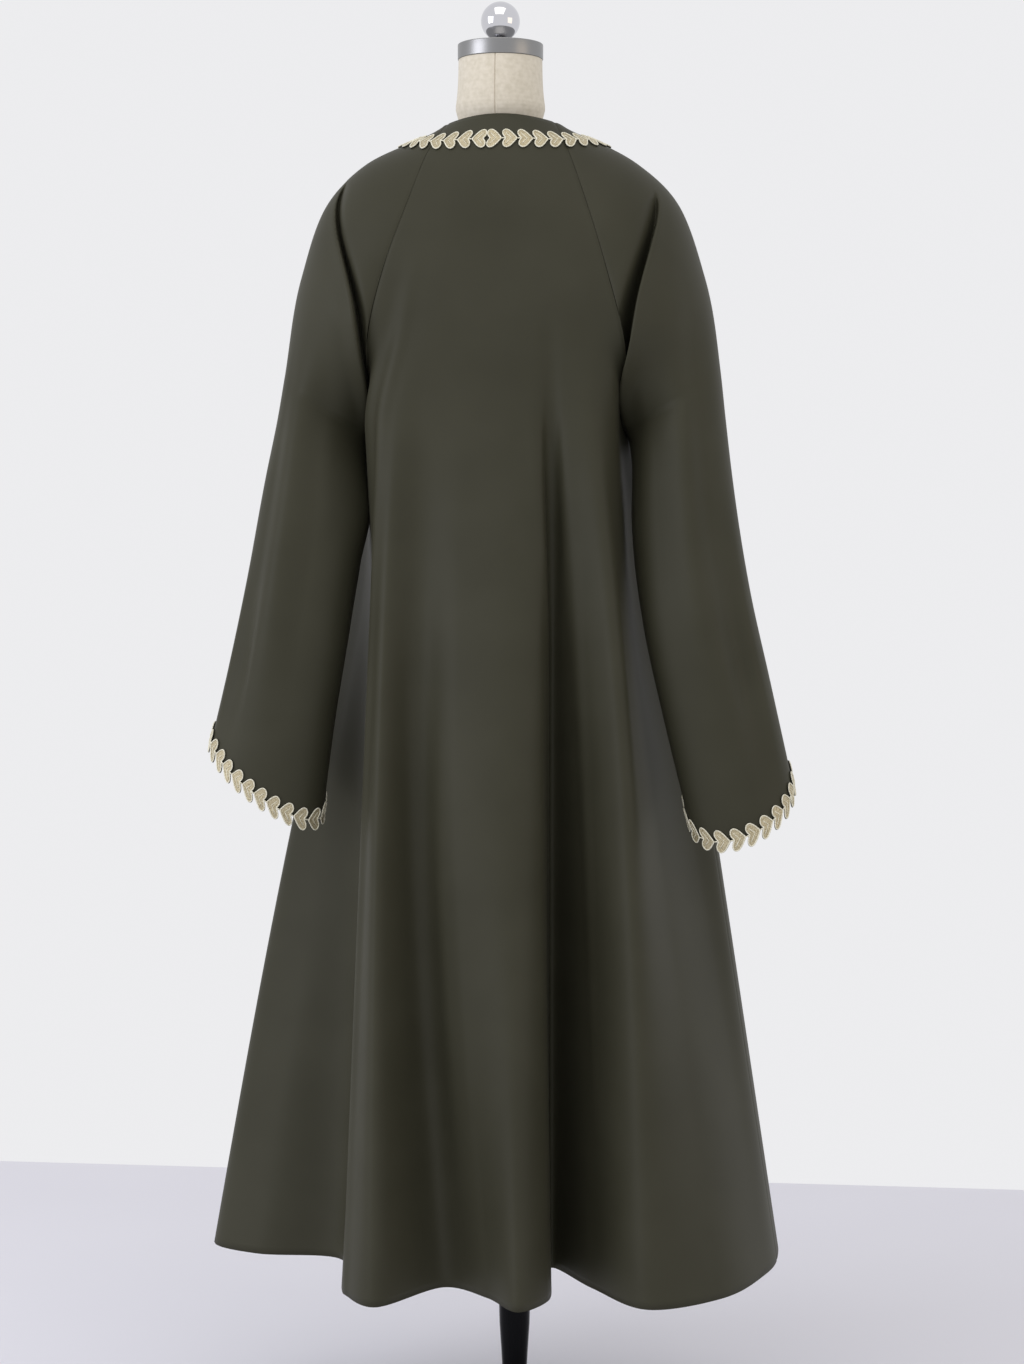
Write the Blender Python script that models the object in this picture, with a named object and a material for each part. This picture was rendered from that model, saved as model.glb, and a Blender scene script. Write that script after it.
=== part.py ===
"""Abaya cloak hanging on a limbless dress form: its construction as closed solids.

Metres, +Z up. The cloak's back faces +Y and the wearer's left is +X. The origin is the
centre of the base's underside. Every cloth piece is a thin wall whose outer face passes
through named sections (stations, from the neckline down) and named fold lines.
"""

import math
from collections import namedtuple

import bmesh
import bpy
import numpy as np

# Driving sizes
CLOTH = 0.0015
SEAM_INSET = 0.0003
UNDERARM_INSET = 0.0006
GARMENT_X = 0.012
FORM_X = 0.0175
CHEST_Z = 1.240
WAIST_Z = 1.080
HIP_Z = 0.800
HEM_Z = 0.222

# Dress form and stand
NECK_TOP_Z = 1.6965
CAP_RADIUS = 0.0525
CAP_HEIGHT = 0.0185
BALL_RADIUS = 0.0240
BALL_STEM_RADIUS = 0.009
BALL_STEM_HEIGHT = 0.006
FORM_BOTTOM_Z = 0.780
BASE_RADIUS = 0.160
BASE_HEIGHT = 0.016
SEAT_GAP = 0.0003

# Chain of hearts sewn along the neckline and the cuffs
HEART_LENGTH = 0.0166
HEART_HEIGHT = 0.0270
HEART_PITCH = 0.0186
CHAIN_CORD = 0.0026
TRIM_THICKNESS = 0.0018
TRIM_GAP = 0.0012
NECK_TRIM_DROP = 0.040
CENTRE_SPLIT = 0.0016
CUFF_TRIM_RISE = 0.001

# Stations of the yoke, from the neckline to the foot of the visible raglan seam. The back
# seam and the shoulder crest differ a little left and right, as the cloak hangs.
Yoke = namedtuple("Yoke", "name down back seam_left seam_right front_seam front_edge bow")
YOKE = [
    Yoke("neckline", 0.000, (0.066, 1.622), (0.066, 0.040, 1.614), (-0.066, 0.040, 1.614),
         (0.068, -0.034, 1.598), (0.014, -0.073, 1.574), 2.0),
    Yoke("collar", 0.055, (0.098, 1.572), (0.084, 0.078, 1.577), (-0.086, 0.078, 1.575),
         (0.089, -0.066, 1.563), (0.016, -0.102, 1.530), 2.0),
    Yoke("shoulder", 0.120, (0.119, 1.512), (0.107, 0.110, 1.506), (-0.114, 0.111, 1.500),
         (0.116, -0.096, 1.493), (0.017, -0.121, 1.462), 2.2),
    Yoke("blade", 0.190, (0.127, 1.443), (0.131, 0.119, 1.437), (-0.136, 0.120, 1.428),
         (0.138, -0.103, 1.424), (0.018, -0.128, 1.392), 2.6),
    Yoke("seam foot", 0.275, (0.129, 1.358), (0.154, 0.106, 1.350), (-0.157, 0.106, 1.340),
         (0.153, -0.080, 1.335), (0.018, -0.130, 1.318), 3.4),
]

# Fold lines of the back from the left side seam to the right one: the share across the
# yoke, then (x, y) at the chest, the waist, the hip and the hem.
Fold = namedtuple("Fold", "name across chest waist hip hem")
BACK_FOLDS = [
    Fold("left side seam", 1.00, (0.165, -0.010), (0.206, -0.066), (0.268, -0.045), (0.366, 0.030)),
    Fold("left panel", 0.93, (0.165, 0.040), (0.174, 0.000), (0.222, 0.000), (0.302, 0.074)),
    Fold("left valley", 0.86, (0.161, 0.080), (0.160, 0.050), (0.172, 0.040), (0.197, 0.084)),
    Fold("left flute wall", 0.76, (0.141, 0.112), (0.144, 0.118), (0.150, 0.145), (0.163, 0.234)),
    Fold("left flute crest", 0.64, (0.120, 0.124), (0.126, 0.143), (0.129, 0.186), (0.118, 0.290)),
    Fold("centre valley", 0.45, (0.085, 0.124), (0.089, 0.134), (0.088, 0.152), (0.046, 0.196)),
    Fold("centre rise", 0.20, (0.034, 0.128), (0.035, 0.146), (0.034, 0.184), (-0.008, 0.236)),
    Fold("centre crest", -0.12, (-0.022, 0.129), (-0.028, 0.150), (-0.034, 0.192), (-0.050, 0.290)),
    Fold("centre flute wall", -0.36, (-0.058, 0.124), (-0.060, 0.138), (-0.063, 0.165), (-0.080, 0.240)),
    Fold("deep valley", -0.44, (-0.070, 0.117), (-0.070, 0.104), (-0.067, 0.080), (-0.069, 0.096)),
    Fold("right rise", -0.54, (-0.085, 0.119), (-0.092, 0.118), (-0.106, 0.116), (-0.126, 0.180)),
    Fold("right flute crest", -0.74, (-0.122, 0.119), (-0.139, 0.136), (-0.164, 0.166), (-0.198, 0.262)),
    Fold("right flute wall", -0.86, (-0.144, 0.085), (-0.155, 0.076), (-0.192, 0.082), (-0.282, 0.204)),
    Fold("right panel", -0.94, (-0.146, 0.038), (-0.162, -0.004), (-0.220, -0.006), (-0.327, 0.100)),
    Fold("right side seam", -1.00, (-0.150, -0.010), (-0.204, -0.066), (-0.248, -0.045), (-0.341, 0.026)),
]
BACK_COLUMNS = [2, 2, 2, 3, 3, 3, 3, 3, 2, 2, 3, 3, 2, 2]

# Fold lines of the left front from its open edge towards the side seam, which is the
# back's. The right front takes them mirrored, moved by RIGHT_FRONT_SHIFT towards the hem,
# as no two fronts fall alike.
FRONT_FOLDS = [
    Fold("open edge", 0.00, (0.018, -0.131), (0.020, -0.143), (0.024, -0.166), (0.032, -0.214)),
    Fold("inner crest", 0.30, (0.055, -0.132), (0.062, -0.153), (0.074, -0.190), (0.094, -0.252)),
    Fold("front valley", 0.52, (0.089, -0.120), (0.099, -0.126), (0.124, -0.133), (0.158, -0.166)),
    Fold("outer crest", 0.75, (0.124, -0.096), (0.144, -0.120), (0.188, -0.154), (0.244, -0.214)),
    Fold("side turn", 0.90, (0.145, -0.058), (0.196, -0.108), (0.240, -0.114), (0.326, -0.118)),
]
FRONT_COLUMNS = [3, 3, 3, 3, 3]
RIGHT_FRONT_SHIFT = {"inner crest": 0.006, "front valley": 0.010, "outer crest": 0.008}

# Stations of the sleeves. The first six share the yoke's rows, from the neckline to the
# underarm, and start and end on the raglan seams; the rest are closed rings through
# `inner` and `crest`. Vectors: `leave` at the back seam, `over` at the crest, `arrive` at
# the front seam, each the section's direction and reach there.
Sleeve = namedtuple("Sleeve", "name down inner crest leave over arrive")
SLEEVE_LEFT = [
    Sleeve("neckline", 0.000, None, (0.080, 0.000, 1.607), (0.026, -0.028, -0.004),
           (0.000, -0.040, -0.004), (-0.020, -0.034, -0.010)),
    Sleeve("collar", 0.055, None, (0.116, 0.000, 1.596), (0.060, -0.045, 0.026),
           (0.000, -0.100, 0.000), (-0.050, -0.060, -0.045)),
    Sleeve("shoulder", 0.120, None, (0.172, 0.002, 1.570), (0.098, -0.030, 0.080),
           (0.000, -0.170, 0.000), (-0.090, 0.020, -0.095)),
    Sleeve("blade", 0.190, None, (0.220, 0.004, 1.522), (0.110, 0.010, 0.080),
           (0.010, -0.210, 0.000), (-0.110, 0.050, -0.110)),
    Sleeve("seam foot", 0.275, None, (0.252, 0.008, 1.432), (0.060, 0.110, 0.030),
           (0.010, -0.250, 0.000), (-0.080, 0.120, -0.090)),
    Sleeve("underarm", 0.395, None, (0.272, 0.014, 1.310), (0.010, 0.300, 0.000),
           (0.000, -0.280, 0.010), (0.000, 0.210, -0.030)),
    Sleeve("gusset", 0.440, (0.175, 0.024, 1.202), (0.279, 0.022, 1.262), (0.000, 0.270, -0.010),
           (0.000, -0.265, 0.015), (0.000, 0.210, -0.030)),
    Sleeve("upper arm", 0.510, (0.169, 0.048, 1.130), (0.291, 0.040, 1.190), (0.000, 0.230, -0.030),
           (0.000, -0.250, 0.030), (0.000, 0.220, -0.030)),
    Sleeve("elbow", 0.640, (0.180, 0.077, 1.010), (0.310, 0.066, 1.065), (0.000, 0.200, -0.060),
           (0.000, -0.230, 0.060), (0.000, 0.200, -0.060)),
    Sleeve("forearm", 0.760, (0.199, 0.082, 0.890), (0.331, 0.074, 0.962), (0.000, 0.190, -0.090),
           (0.000, -0.220, 0.090), (0.000, 0.190, -0.090)),
    Sleeve("cuff", 0.880, (0.214, 0.084, 0.776), (0.353, 0.078, 0.868), (0.000, 0.180, -0.110),
           (0.000, -0.200, 0.100), (0.000, 0.180, -0.110)),
]
SLEEVE_RIGHT = [
    Sleeve("neckline", 0.000, None, (-0.080, 0.000, 1.607), (-0.026, -0.028, -0.004),
           (0.000, -0.040, -0.004), (0.020, -0.034, -0.010)),
    Sleeve("collar", 0.055, None, (-0.115, 0.000, 1.594), (-0.060, -0.045, 0.026),
           (0.000, -0.100, 0.000), (0.050, -0.060, -0.045)),
    Sleeve("shoulder", 0.120, None, (-0.165, 0.002, 1.566), (-0.096, -0.030, 0.080),
           (0.000, -0.170, 0.000), (0.090, 0.020, -0.095)),
    Sleeve("blade", 0.190, None, (-0.212, 0.004, 1.520), (-0.110, 0.010, 0.080),
           (-0.010, -0.210, 0.000), (0.110, 0.050, -0.110)),
    Sleeve("seam foot", 0.275, None, (-0.246, 0.008, 1.430), (-0.060, 0.110, 0.030),
           (-0.010, -0.250, 0.000), (0.080, 0.120, -0.090)),
    Sleeve("underarm", 0.395, None, (-0.267, 0.014, 1.310), (-0.010, 0.300, 0.000),
           (0.000, -0.280, 0.010), (0.000, 0.210, -0.030)),
    Sleeve("gusset", 0.440, (-0.159, 0.022, 1.204), (-0.273, 0.022, 1.258), (0.000, 0.270, -0.010),
           (0.000, -0.265, 0.015), (0.000, 0.210, -0.030)),
    Sleeve("upper arm", 0.510, (-0.161, 0.046, 1.130), (-0.283, 0.040, 1.180), (0.000, 0.230, -0.030),
           (0.000, -0.250, 0.030), (0.000, 0.220, -0.030)),
    Sleeve("elbow", 0.640, (-0.177, 0.076, 1.010), (-0.305, 0.066, 1.048), (0.000, 0.200, -0.080),
           (0.000, -0.230, 0.080), (0.000, 0.200, -0.080)),
    Sleeve("forearm", 0.760, (-0.203, 0.082, 0.896), (-0.331, 0.074, 0.932), (0.000, 0.190, -0.130),
           (0.000, -0.220, 0.130), (0.000, 0.190, -0.130)),
    Sleeve("cuff", 0.880, (-0.231, 0.084, 0.790), (-0.357, 0.078, 0.815), (0.000, 0.180, -0.230),
           (0.000, -0.200, 0.170), (0.000, 0.180, -0.170)),
]

# Creases of the sleeves: where round the section (0 back seam, 0.5 crest, 1 front seam)
# and where along it, how wide and long they are, and how far the cloth is pushed.
Crease = namedtuple("Crease", "name around spread down reach push")
CREASES_LEFT = [
    Crease("rear valley", 0.100, 0.055, 0.215, 0.095, (0.004, -0.050, -0.006)),
    Crease("rear ridge", 0.300, 0.090, 0.560, 0.300, (0.006, 0.010, 0.000)),
    Crease("forearm trough", 0.400, 0.070, 0.740, 0.180, (-0.006, -0.008, 0.000)),
    Crease("front trough", 0.720, 0.080, 0.600, 0.260, (-0.006, 0.012, 0.000)),
]
CREASES_RIGHT = [
    Crease("rear valley", 0.090, 0.055, 0.235, 0.110, (-0.004, -0.034, -0.006)),
    Crease("rear ridge", 0.260, 0.090, 0.520, 0.300, (-0.006, 0.012, 0.000)),
    Crease("forearm trough", 0.380, 0.070, 0.700, 0.200, (0.006, -0.008, 0.000)),
    Crease("front trough", 0.720, 0.080, 0.620, 0.260, (0.006, 0.012, 0.000)),
]

YOKE_ROWS = 10
SKIRT_ROWS = 15
SLEEVE_ROWS = 11
SLEEVE_COLUMNS = 24
NECK_SAMPLES = 12

# Dress form: half width, reach to the back and reach to the front at each height.
Ring = namedtuple("Ring", "z half_width back front")
FORM_RINGS = [
    Ring(FORM_BOTTOM_Z, 0.060, 0.046, 0.055),
    Ring(0.792, 0.098, 0.060, 0.082),
    Ring(0.830, 0.122, 0.068, 0.096),
    Ring(0.920, 0.128, 0.074, 0.098),
    Ring(1.050, 0.112, 0.080, 0.090),
    Ring(1.160, 0.116, 0.086, 0.094),
    Ring(1.280, 0.132, 0.100, 0.108),
    Ring(1.400, 0.146, 0.108, 0.106),
    Ring(1.480, 0.170, 0.104, 0.092),
    Ring(1.522, 0.186, 0.090, 0.074),
    Ring(1.546, 0.187, 0.076, 0.062),
    Ring(1.562, 0.1723, 0.068, 0.054),
    Ring(1.578, 0.141, 0.062, 0.046),
    Ring(1.594, 0.095, 0.054, 0.036),
    Ring(1.608, 0.062, 0.050, 0.038),
    Ring(1.640, 0.055, 0.054, 0.044),
    Ring(NECK_TOP_Z, 0.0515, 0.0515, 0.0515),
]
FORM_SEGMENTS = 24


def clear_scene():
    """Remove what the scene holds, so that the script can be run again."""
    for item in list(bpy.data.objects):
        bpy.data.objects.remove(item, do_unlink=True)


def material(name, colour, roughness, metallic=0.0):
    """A Principled material from a linear colour."""
    made = bpy.data.materials.new(name)
    made.use_nodes = True
    shader = made.node_tree.nodes["Principled BSDF"]
    shader.inputs["Base Color"].default_value = (*colour, 1.0)
    shader.inputs["Roughness"].default_value = roughness
    shader.inputs["Metallic"].default_value = metallic
    made.diffuse_color = (*colour, 1.0)
    return made


def place(name, mesh, finish, parent=None):
    """Put a mesh in the scene as one named sub-part."""
    made = bpy.data.objects.new(name, mesh)
    bpy.context.scene.collection.objects.link(made)
    made.data.materials.append(finish)
    made.parent = parent
    for face in made.data.polygons:
        face.use_smooth = True
    return made


def through(points, knots, at, turn=None):
    """The smooth curve through points that stand at knots, evaluated at the values in at.

    At the point numbered turn the curve's direction follows the points after it only, so
    that lines which meet there run on as one.
    """
    points = np.asarray(points, float)
    knots = np.asarray(knots, float)
    at = np.clip(np.asarray(at, float), knots[0], knots[-1])
    shape = (-1,) + (1,) * (points.ndim - 1)
    steps = np.diff(knots).reshape(shape)
    slopes = np.diff(points, axis=0) / steps
    tangents = np.empty_like(points)
    tangents[1:-1] = (steps[1:] * slopes[:-1] + steps[:-1] * slopes[1:]) / (steps[1:] + steps[:-1])
    tangents[0] = 1.5 * slopes[0] - 0.5 * tangents[1]
    tangents[-1] = 1.5 * slopes[-1] - 0.5 * tangents[-2]
    if turn is not None:
        tangents[turn] = 1.5 * slopes[turn] - 0.5 * tangents[turn + 1]
    span = np.clip(np.searchsorted(knots, at, side="right") - 1, 0, len(knots) - 2)
    width = np.diff(knots)[span]
    s = ((at - knots[span]) / width).reshape(shape)
    width = width.reshape(shape)
    start = (2 * s**3 - 3 * s**2 + 1) * points[span] + (s**3 - 2 * s**2 + s) * width * tangents[span]
    end = (3 * s**2 - 2 * s**3) * points[span + 1] + (s**3 - s**2) * width * tangents[span + 1]
    return start + end


def yoke_section(station, shares, side):
    """Points of one yoke station of the back (side None) or of a front (side 1 or -1)."""
    shares = np.asarray(shares, float)[:, None]
    if side is None:
        seam = np.where(shares > 0, station.seam_left, station.seam_right)
        centre = np.array([0.0, *station.back])
        reach = np.abs(shares)
        bend = np.hstack([reach, reach**station.bow, reach**2])
        return centre + (seam - centre) * bend
    edge = np.array(station.front_edge) * (side, 1, 1)
    seam = np.array(station.front_seam) * (side, 1, 1)
    bend = np.hstack([shares, shares**station.bow, shares**1.6])
    return edge + (seam - edge) * bend


def fold_points(side=None):
    """Every fold line of the back (side None) or of a front, at every station."""
    folds = BACK_FOLDS if side is None else FRONT_FOLDS + [BACK_FOLDS[0 if side > 0 else -1]]
    shares = [fold.across if side is None else abs(fold.across) for fold in folds]
    rows = [yoke_section(station, shares, side) for station in YOKE]
    for z, level in ((CHEST_Z, "chest"), (WAIST_Z, "waist"), (HIP_Z, "hip"), (HEM_Z, "hem")):
        row = []
        for fold in folds:
            x, y = getattr(fold, level)
            if side == -1 and fold in FRONT_FOLDS:
                x = -x
                y -= RIGHT_FRONT_SHIFT.get(fold.name, 0.0) * (CHEST_Z - z)
            row.append((x, y, z))
        rows.append(np.array(row))
    return np.array(rows)


def station_knots():
    """Distance of each station below the neckline, measured down the centre of the back."""
    knots = [station.down for station in YOKE]
    knots.append(knots[-1] + 0.120)
    for upper, lower in ((CHEST_Z, WAIST_Z), (WAIST_Z, HIP_Z), (HIP_Z, HEM_Z)):
        knots.append(knots[-1] + upper - lower)
    return knots


KNOTS = station_knots()

# The underarm is the station after the yoke's five.
UNDERARM = len(YOKE)
UNDERARM_DOWN = KNOTS[UNDERARM]
HEM_DOWN = KNOTS[-1]


def panel_grid(lines, downs, columns, before=None, after=None, out=1):
    """Outer-face points and unit normals: a row for each distance down, columns between folds.

    Below the underarm, before and after are the neighbouring panels' nearest lines, so that
    the cloth runs smoothly across the side seams. Out is 1 where columns run towards -X.
    """
    groups = [group for group in (before, lines, after) if group is not None]
    rows = through(np.concatenate(groups, axis=1), KNOTS, downs, UNDERARM)
    first = 0 if before is None else 1
    count = lines.shape[1]
    grid = []
    across = []
    for row, down in zip(rows, downs):
        low = down >= UNDERARM_DOWN
        lead = first if low else 0
        points = row if low else row[first:first + count]
        chords = np.linalg.norm(np.diff(points, axis=0), axis=1) ** 0.5
        knots = np.concatenate([[0.0], np.cumsum(chords)])
        at = [knots[lead]]
        for index, steps in enumerate(columns, lead):
            at.extend(knots[index] + chords[index] * (k + 1) / steps for k in range(steps))
        at = np.array(at)
        step = 1e-3 * knots[-1]
        grid.append(through(points, knots, at))
        across.append(through(points, knots, at + step) - through(points, knots, at - step))
    grid = np.array(grid)
    normals = np.cross(np.gradient(grid, downs, axis=0), np.array(across)) * out
    return grid, normals / np.linalg.norm(normals, axis=2, keepdims=True)


def body_downs(yoke_rows=YOKE_ROWS, skirt_rows=SKIRT_ROWS):
    """Where the rows of the body panels lie."""
    yoke = np.linspace(0.0, UNDERARM_DOWN, yoke_rows + 1)
    skirt = np.linspace(UNDERARM_DOWN, HEM_DOWN, skirt_rows + 1)
    return np.concatenate([yoke, skirt[1:]])


def inset_ends(grid, amount=SEAM_INSET):
    """Draw the first and last column in along each row, which leaves the seam's gap."""
    grid = grid.copy()
    for end, inner in ((0, 1), (-1, -2)):
        step = grid[:, inner] - grid[:, end]
        length = np.linalg.norm(step, axis=1, keepdims=True)
        grid[:, end] += step / length * amount
    return grid


def back_seam(side, downs):
    """The back raglan seam: the back's outermost line on that side."""
    lines = fold_points()
    return through(lines[:, 0 if side > 0 else -1], KNOTS, downs, UNDERARM)


def front_seam(side, downs):
    """The front raglan seam: the front's outermost line."""
    return through(fold_points(side)[:, -1], KNOTS, downs, UNDERARM)


def bump(value, centre, reach):
    """A smooth rise from 0 to 1 and back within reach of centre."""
    gap = np.clip(np.abs(value - centre) / reach, 0.0, 1.0)
    return 0.5 + 0.5 * np.cos(math.pi * gap)


def sleeve_rows(side, downs, columns):
    """Grid of a sleeve's outer face: back seam, over the crest, to the front seam."""
    table = SLEEVE_LEFT if side > 0 else SLEEVE_RIGHT
    creases = CREASES_LEFT if side > 0 else CREASES_RIGHT
    knots = [station.down for station in table]
    crest = through([s.crest for s in table], knots, downs)
    leave = through([s.leave for s in table], knots, downs)
    over = through([s.over for s in table], knots, downs)
    arrive = through([s.arrive for s in table], knots, downs)
    start = back_seam(side, downs)
    end = front_seam(side, downs)
    closed = [s for s in table if s.inner is not None]
    underarm = back_seam(side, [UNDERARM_DOWN])[0] + (side * UNDERARM_INSET, 0.0, 0.0)
    inner_knots = [UNDERARM_DOWN] + [s.down for s in closed]
    inner = through([underarm] + [s.inner for s in closed], inner_knots, downs)
    low = downs >= UNDERARM_DOWN
    start[low] = inner[low]
    end[low] = inner[low]
    around = np.linspace(0.0, 1.0, columns + 1)
    grid = np.empty((len(downs), columns + 1, 3))
    for index, share in enumerate(around):
        first = share <= 0.5
        s = share * 2 if first else share * 2 - 1
        a, b = (start, crest) if first else (crest, end)
        ta, tb = (leave, over) if first else (over, arrive)
        weights = (2 * s**3 - 3 * s**2 + 1, 3 * s**2 - 2 * s**3, s**3 - 2 * s**2 + s, s**3 - s**2)
        grid[:, index] = weights[0] * a + weights[1] * b + weights[2] * ta + weights[3] * tb
    for crease in creases:
        strength = np.outer(bump(downs, crease.down, crease.reach),
                            bump(around, crease.around, crease.spread))
        grid += strength[:, :, None] * np.array(crease.push)
    return grid


def sleeve_downs(yoke_rows=YOKE_ROWS, arm_rows=SLEEVE_ROWS):
    """Where the rows of a sleeve lie: the yoke's rows, then rings down to the cuff."""
    yoke = np.linspace(0.0, UNDERARM_DOWN, yoke_rows + 1)
    arm = np.linspace(UNDERARM_DOWN, SLEEVE_LEFT[-1].down, arm_rows + 1)
    return np.concatenate([yoke, arm[1:]])


def sleeve_normals(grid, closed_from, out):
    """Unit normals of a sleeve's outer face; its rings are joined from closed_from on."""
    down = np.gradient(grid, axis=0)
    across = np.gradient(grid, axis=1)
    ring = grid[closed_from:]
    across[closed_from:, 0] = ring[:, 1] - ring[:, -2]
    across[closed_from:, -1] = across[closed_from:, 0]
    normals = np.cross(down, across) * out
    return normals / np.linalg.norm(normals, axis=2, keepdims=True)


def shell_mesh(name, outer, inner, closed_from=None, flip=False):
    """A closed wall between two grids; rows from closed_from on are rings."""
    made = bmesh.new()
    rows, columns, _ = outer.shape
    skins = [[[made.verts.new(point) for point in row] for row in grid] for grid in (outer, inner)]
    for skin in skins:
        for r in range(rows):
            if closed_from is not None and r >= closed_from:
                made.verts.remove(skin[r][-1])
                skin[r][-1] = skin[r][0]

    def quad(*corners):
        corners = list(dict.fromkeys(corners))
        if flip:
            corners.reverse()
        if len(corners) > 2:
            made.faces.new(corners)

    top, under = skins
    for r in range(rows - 1):
        for c in range(columns - 1):
            quad(top[r][c], top[r + 1][c], top[r + 1][c + 1], top[r][c + 1])
            quad(under[r][c], under[r][c + 1], under[r + 1][c + 1], under[r + 1][c])
    for c in range(columns - 1):
        quad(top[0][c], top[0][c + 1], under[0][c + 1], under[0][c])
        quad(top[-1][c], under[-1][c], under[-1][c + 1], top[-1][c + 1])
    for r in range(rows - 1 if closed_from is None else closed_from):
        quad(top[r][0], under[r][0], under[r + 1][0], top[r + 1][0])
        quad(top[r][-1], top[r + 1][-1], under[r + 1][-1], under[r][-1])
    mesh = bpy.data.meshes.new(name)
    made.to_mesh(mesh)
    made.free()
    return mesh


def cloth_piece(name, grid, normals, finish, parent, closed_from=None, flip=False):
    """One cut piece: its outer face, and its inner face one cloth further in."""
    last = len(grid) if closed_from is None else closed_from
    outer = grid.copy()
    outer[:last] = inset_ends(grid[:last])
    mesh = shell_mesh(name, outer, outer - normals * CLOTH, closed_from, flip)
    return place(name, mesh, finish, parent)


def body_grids(downs):
    """Points and normals of the back and the two fronts."""
    back = fold_points()
    fronts = {side: fold_points(side) for side in (1, -1)}
    grids = {"back": panel_grid(back, downs, BACK_COLUMNS, fronts[1][:, -2:-1], fronts[-1][:, -2:-1])}
    for side, beside in ((1, back[:, 1:2]), (-1, back[:, -2:-1])):
        grids[side] = panel_grid(fronts[side], downs, FRONT_COLUMNS, after=beside, out=side)
    return grids


def build_cloak(finish, parent):
    """Back, two fronts and two raglan sleeves."""
    grids = body_grids(body_downs())
    cloth_piece("back", *grids["back"], finish, parent)
    for side, word in ((1, "left"), (-1, "right")):
        cloth_piece("front_" + word, *grids[side], finish, parent, flip=side < 0)
        sleeve = sleeve_rows(side, sleeve_downs(), SLEEVE_COLUMNS)
        normals = sleeve_normals(sleeve, YOKE_ROWS, -side)
        cloth_piece("sleeve_" + word, sleeve, normals, finish, parent, YOKE_ROWS, side > 0)


def neck_ring(downs):
    """The yoke's outer face near the neckline, from the right front edge round to the left."""
    lines = through(fold_points(), KNOTS, downs, UNDERARM)
    shares = [fold.across for fold in reversed(BACK_FOLDS)]
    across = np.linspace(-1.0, 1.0, 2 * NECK_SAMPLES + 1)
    back = np.array([through(row[::-1], shares, across) for row in lines])
    sides = {}
    for side in (1, -1):
        arm = sleeve_rows(side, downs, SLEEVE_COLUMNS)[:, 1:]
        front = body_grids(downs)[side][0][:, -2::-1]
        sides[side] = np.concatenate([arm, front], axis=1)
    return np.concatenate([sides[-1][:, ::-1], back, sides[1]], axis=1)


def cuff_ring(side):
    """The outer face near a cuff as a ring of columns, the cuff's edge first."""
    last = SLEEVE_LEFT[-1].down
    downs = np.linspace(last, last - 0.040, 5)
    return sleeve_rows(side, downs, 2 * SLEEVE_COLUMNS)


def chain_map(grid, start, middle, out, closed=False):
    """A map from (along, drop) in metres to a point and a normal on a grid of the outer face.

    Rows run away from the cloth's edge. Along is 0 at column start, measured on the row
    that lies `middle` away from the edge; drop is the distance from that row. Out is 1
    where the columns run rightwards for someone who looks at the face with its edge up.
    """
    steps = np.linalg.norm(np.diff(grid, axis=0), axis=2)
    drops = np.concatenate([np.zeros((1, grid.shape[1])), np.cumsum(steps, axis=0)])
    columns = range(grid.shape[1])

    def at_drop(column, drop):
        extra = min(drop, 0.0)
        point = [np.interp(drop, drops[:, column], grid[:, column, axis]) for axis in range(3)]
        away = (grid[1, column] - grid[0, column]) / drops[1, column]
        return np.array(point) + away * extra

    line = np.array([at_drop(column, middle) for column in columns])
    along = np.concatenate([[0.0], np.cumsum(np.linalg.norm(np.diff(line, axis=0), axis=1))])
    length = along[-1]
    along = along - np.interp(start, columns, along)

    def spot(distance, drop):
        if closed:
            distance = (distance - along[0]) % length + along[0]
        place_at = np.interp(distance, along, columns)
        column = min(int(place_at), grid.shape[1] - 2)
        share = place_at - column
        return at_drop(column, middle + drop) * (1 - share) + at_drop(column + 1, middle + drop) * share

    def point_and_normal(distance, drop):
        small = 0.002
        run = spot(distance + small, drop) - spot(distance - small, drop)
        fall = spot(distance, drop + small) - spot(distance, drop - small)
        normal = np.cross(run, fall) * out
        return spot(distance, drop), normal / np.linalg.norm(normal)

    return point_and_normal, length


def heart(at, tip, length):
    """One heart lying on its side as (along, drop) points, its tip towards `tip`.

    The first and last points are the notch's cord, the two in the middle the tip's.
    """
    half = CHAIN_CORD / 2
    lobe = [(0.20, half), (0.02, 0.20 * HEART_HEIGHT), (0.10, 0.44 * HEART_HEIGHT),
            (0.32, 0.50 * HEART_HEIGHT), (0.66, 0.30 * HEART_HEIGHT), (1.00, half)]
    ring = lobe + [(share, -drop) for share, drop in reversed(lobe)]
    return [(at + tip * share * length, drop) for share, drop in ring]


def add_hearts(points, faces, starts, tip, length):
    """Append hearts in a row, each joined to the one before by a short cord."""
    before = None
    first = None
    for at in starts:
        base = len(points)
        points.extend(heart(at, tip, length))
        ids = list(range(base, base + 12))
        faces.append(ids if tip < 0 else ids[::-1])
        notch = (ids[0], ids[11])
        if before is not None:
            join_cord(faces, before, notch, tip)
        first = first or notch
        before = (ids[5], ids[6])
    return first, before


def join_cord(faces, here, there, tip):
    """The short cord between a heart's tip and the next heart's notch."""
    quad = [here[0], here[1], there[1], there[0]]
    faces.append(quad if tip > 0 else quad[::-1])


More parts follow.
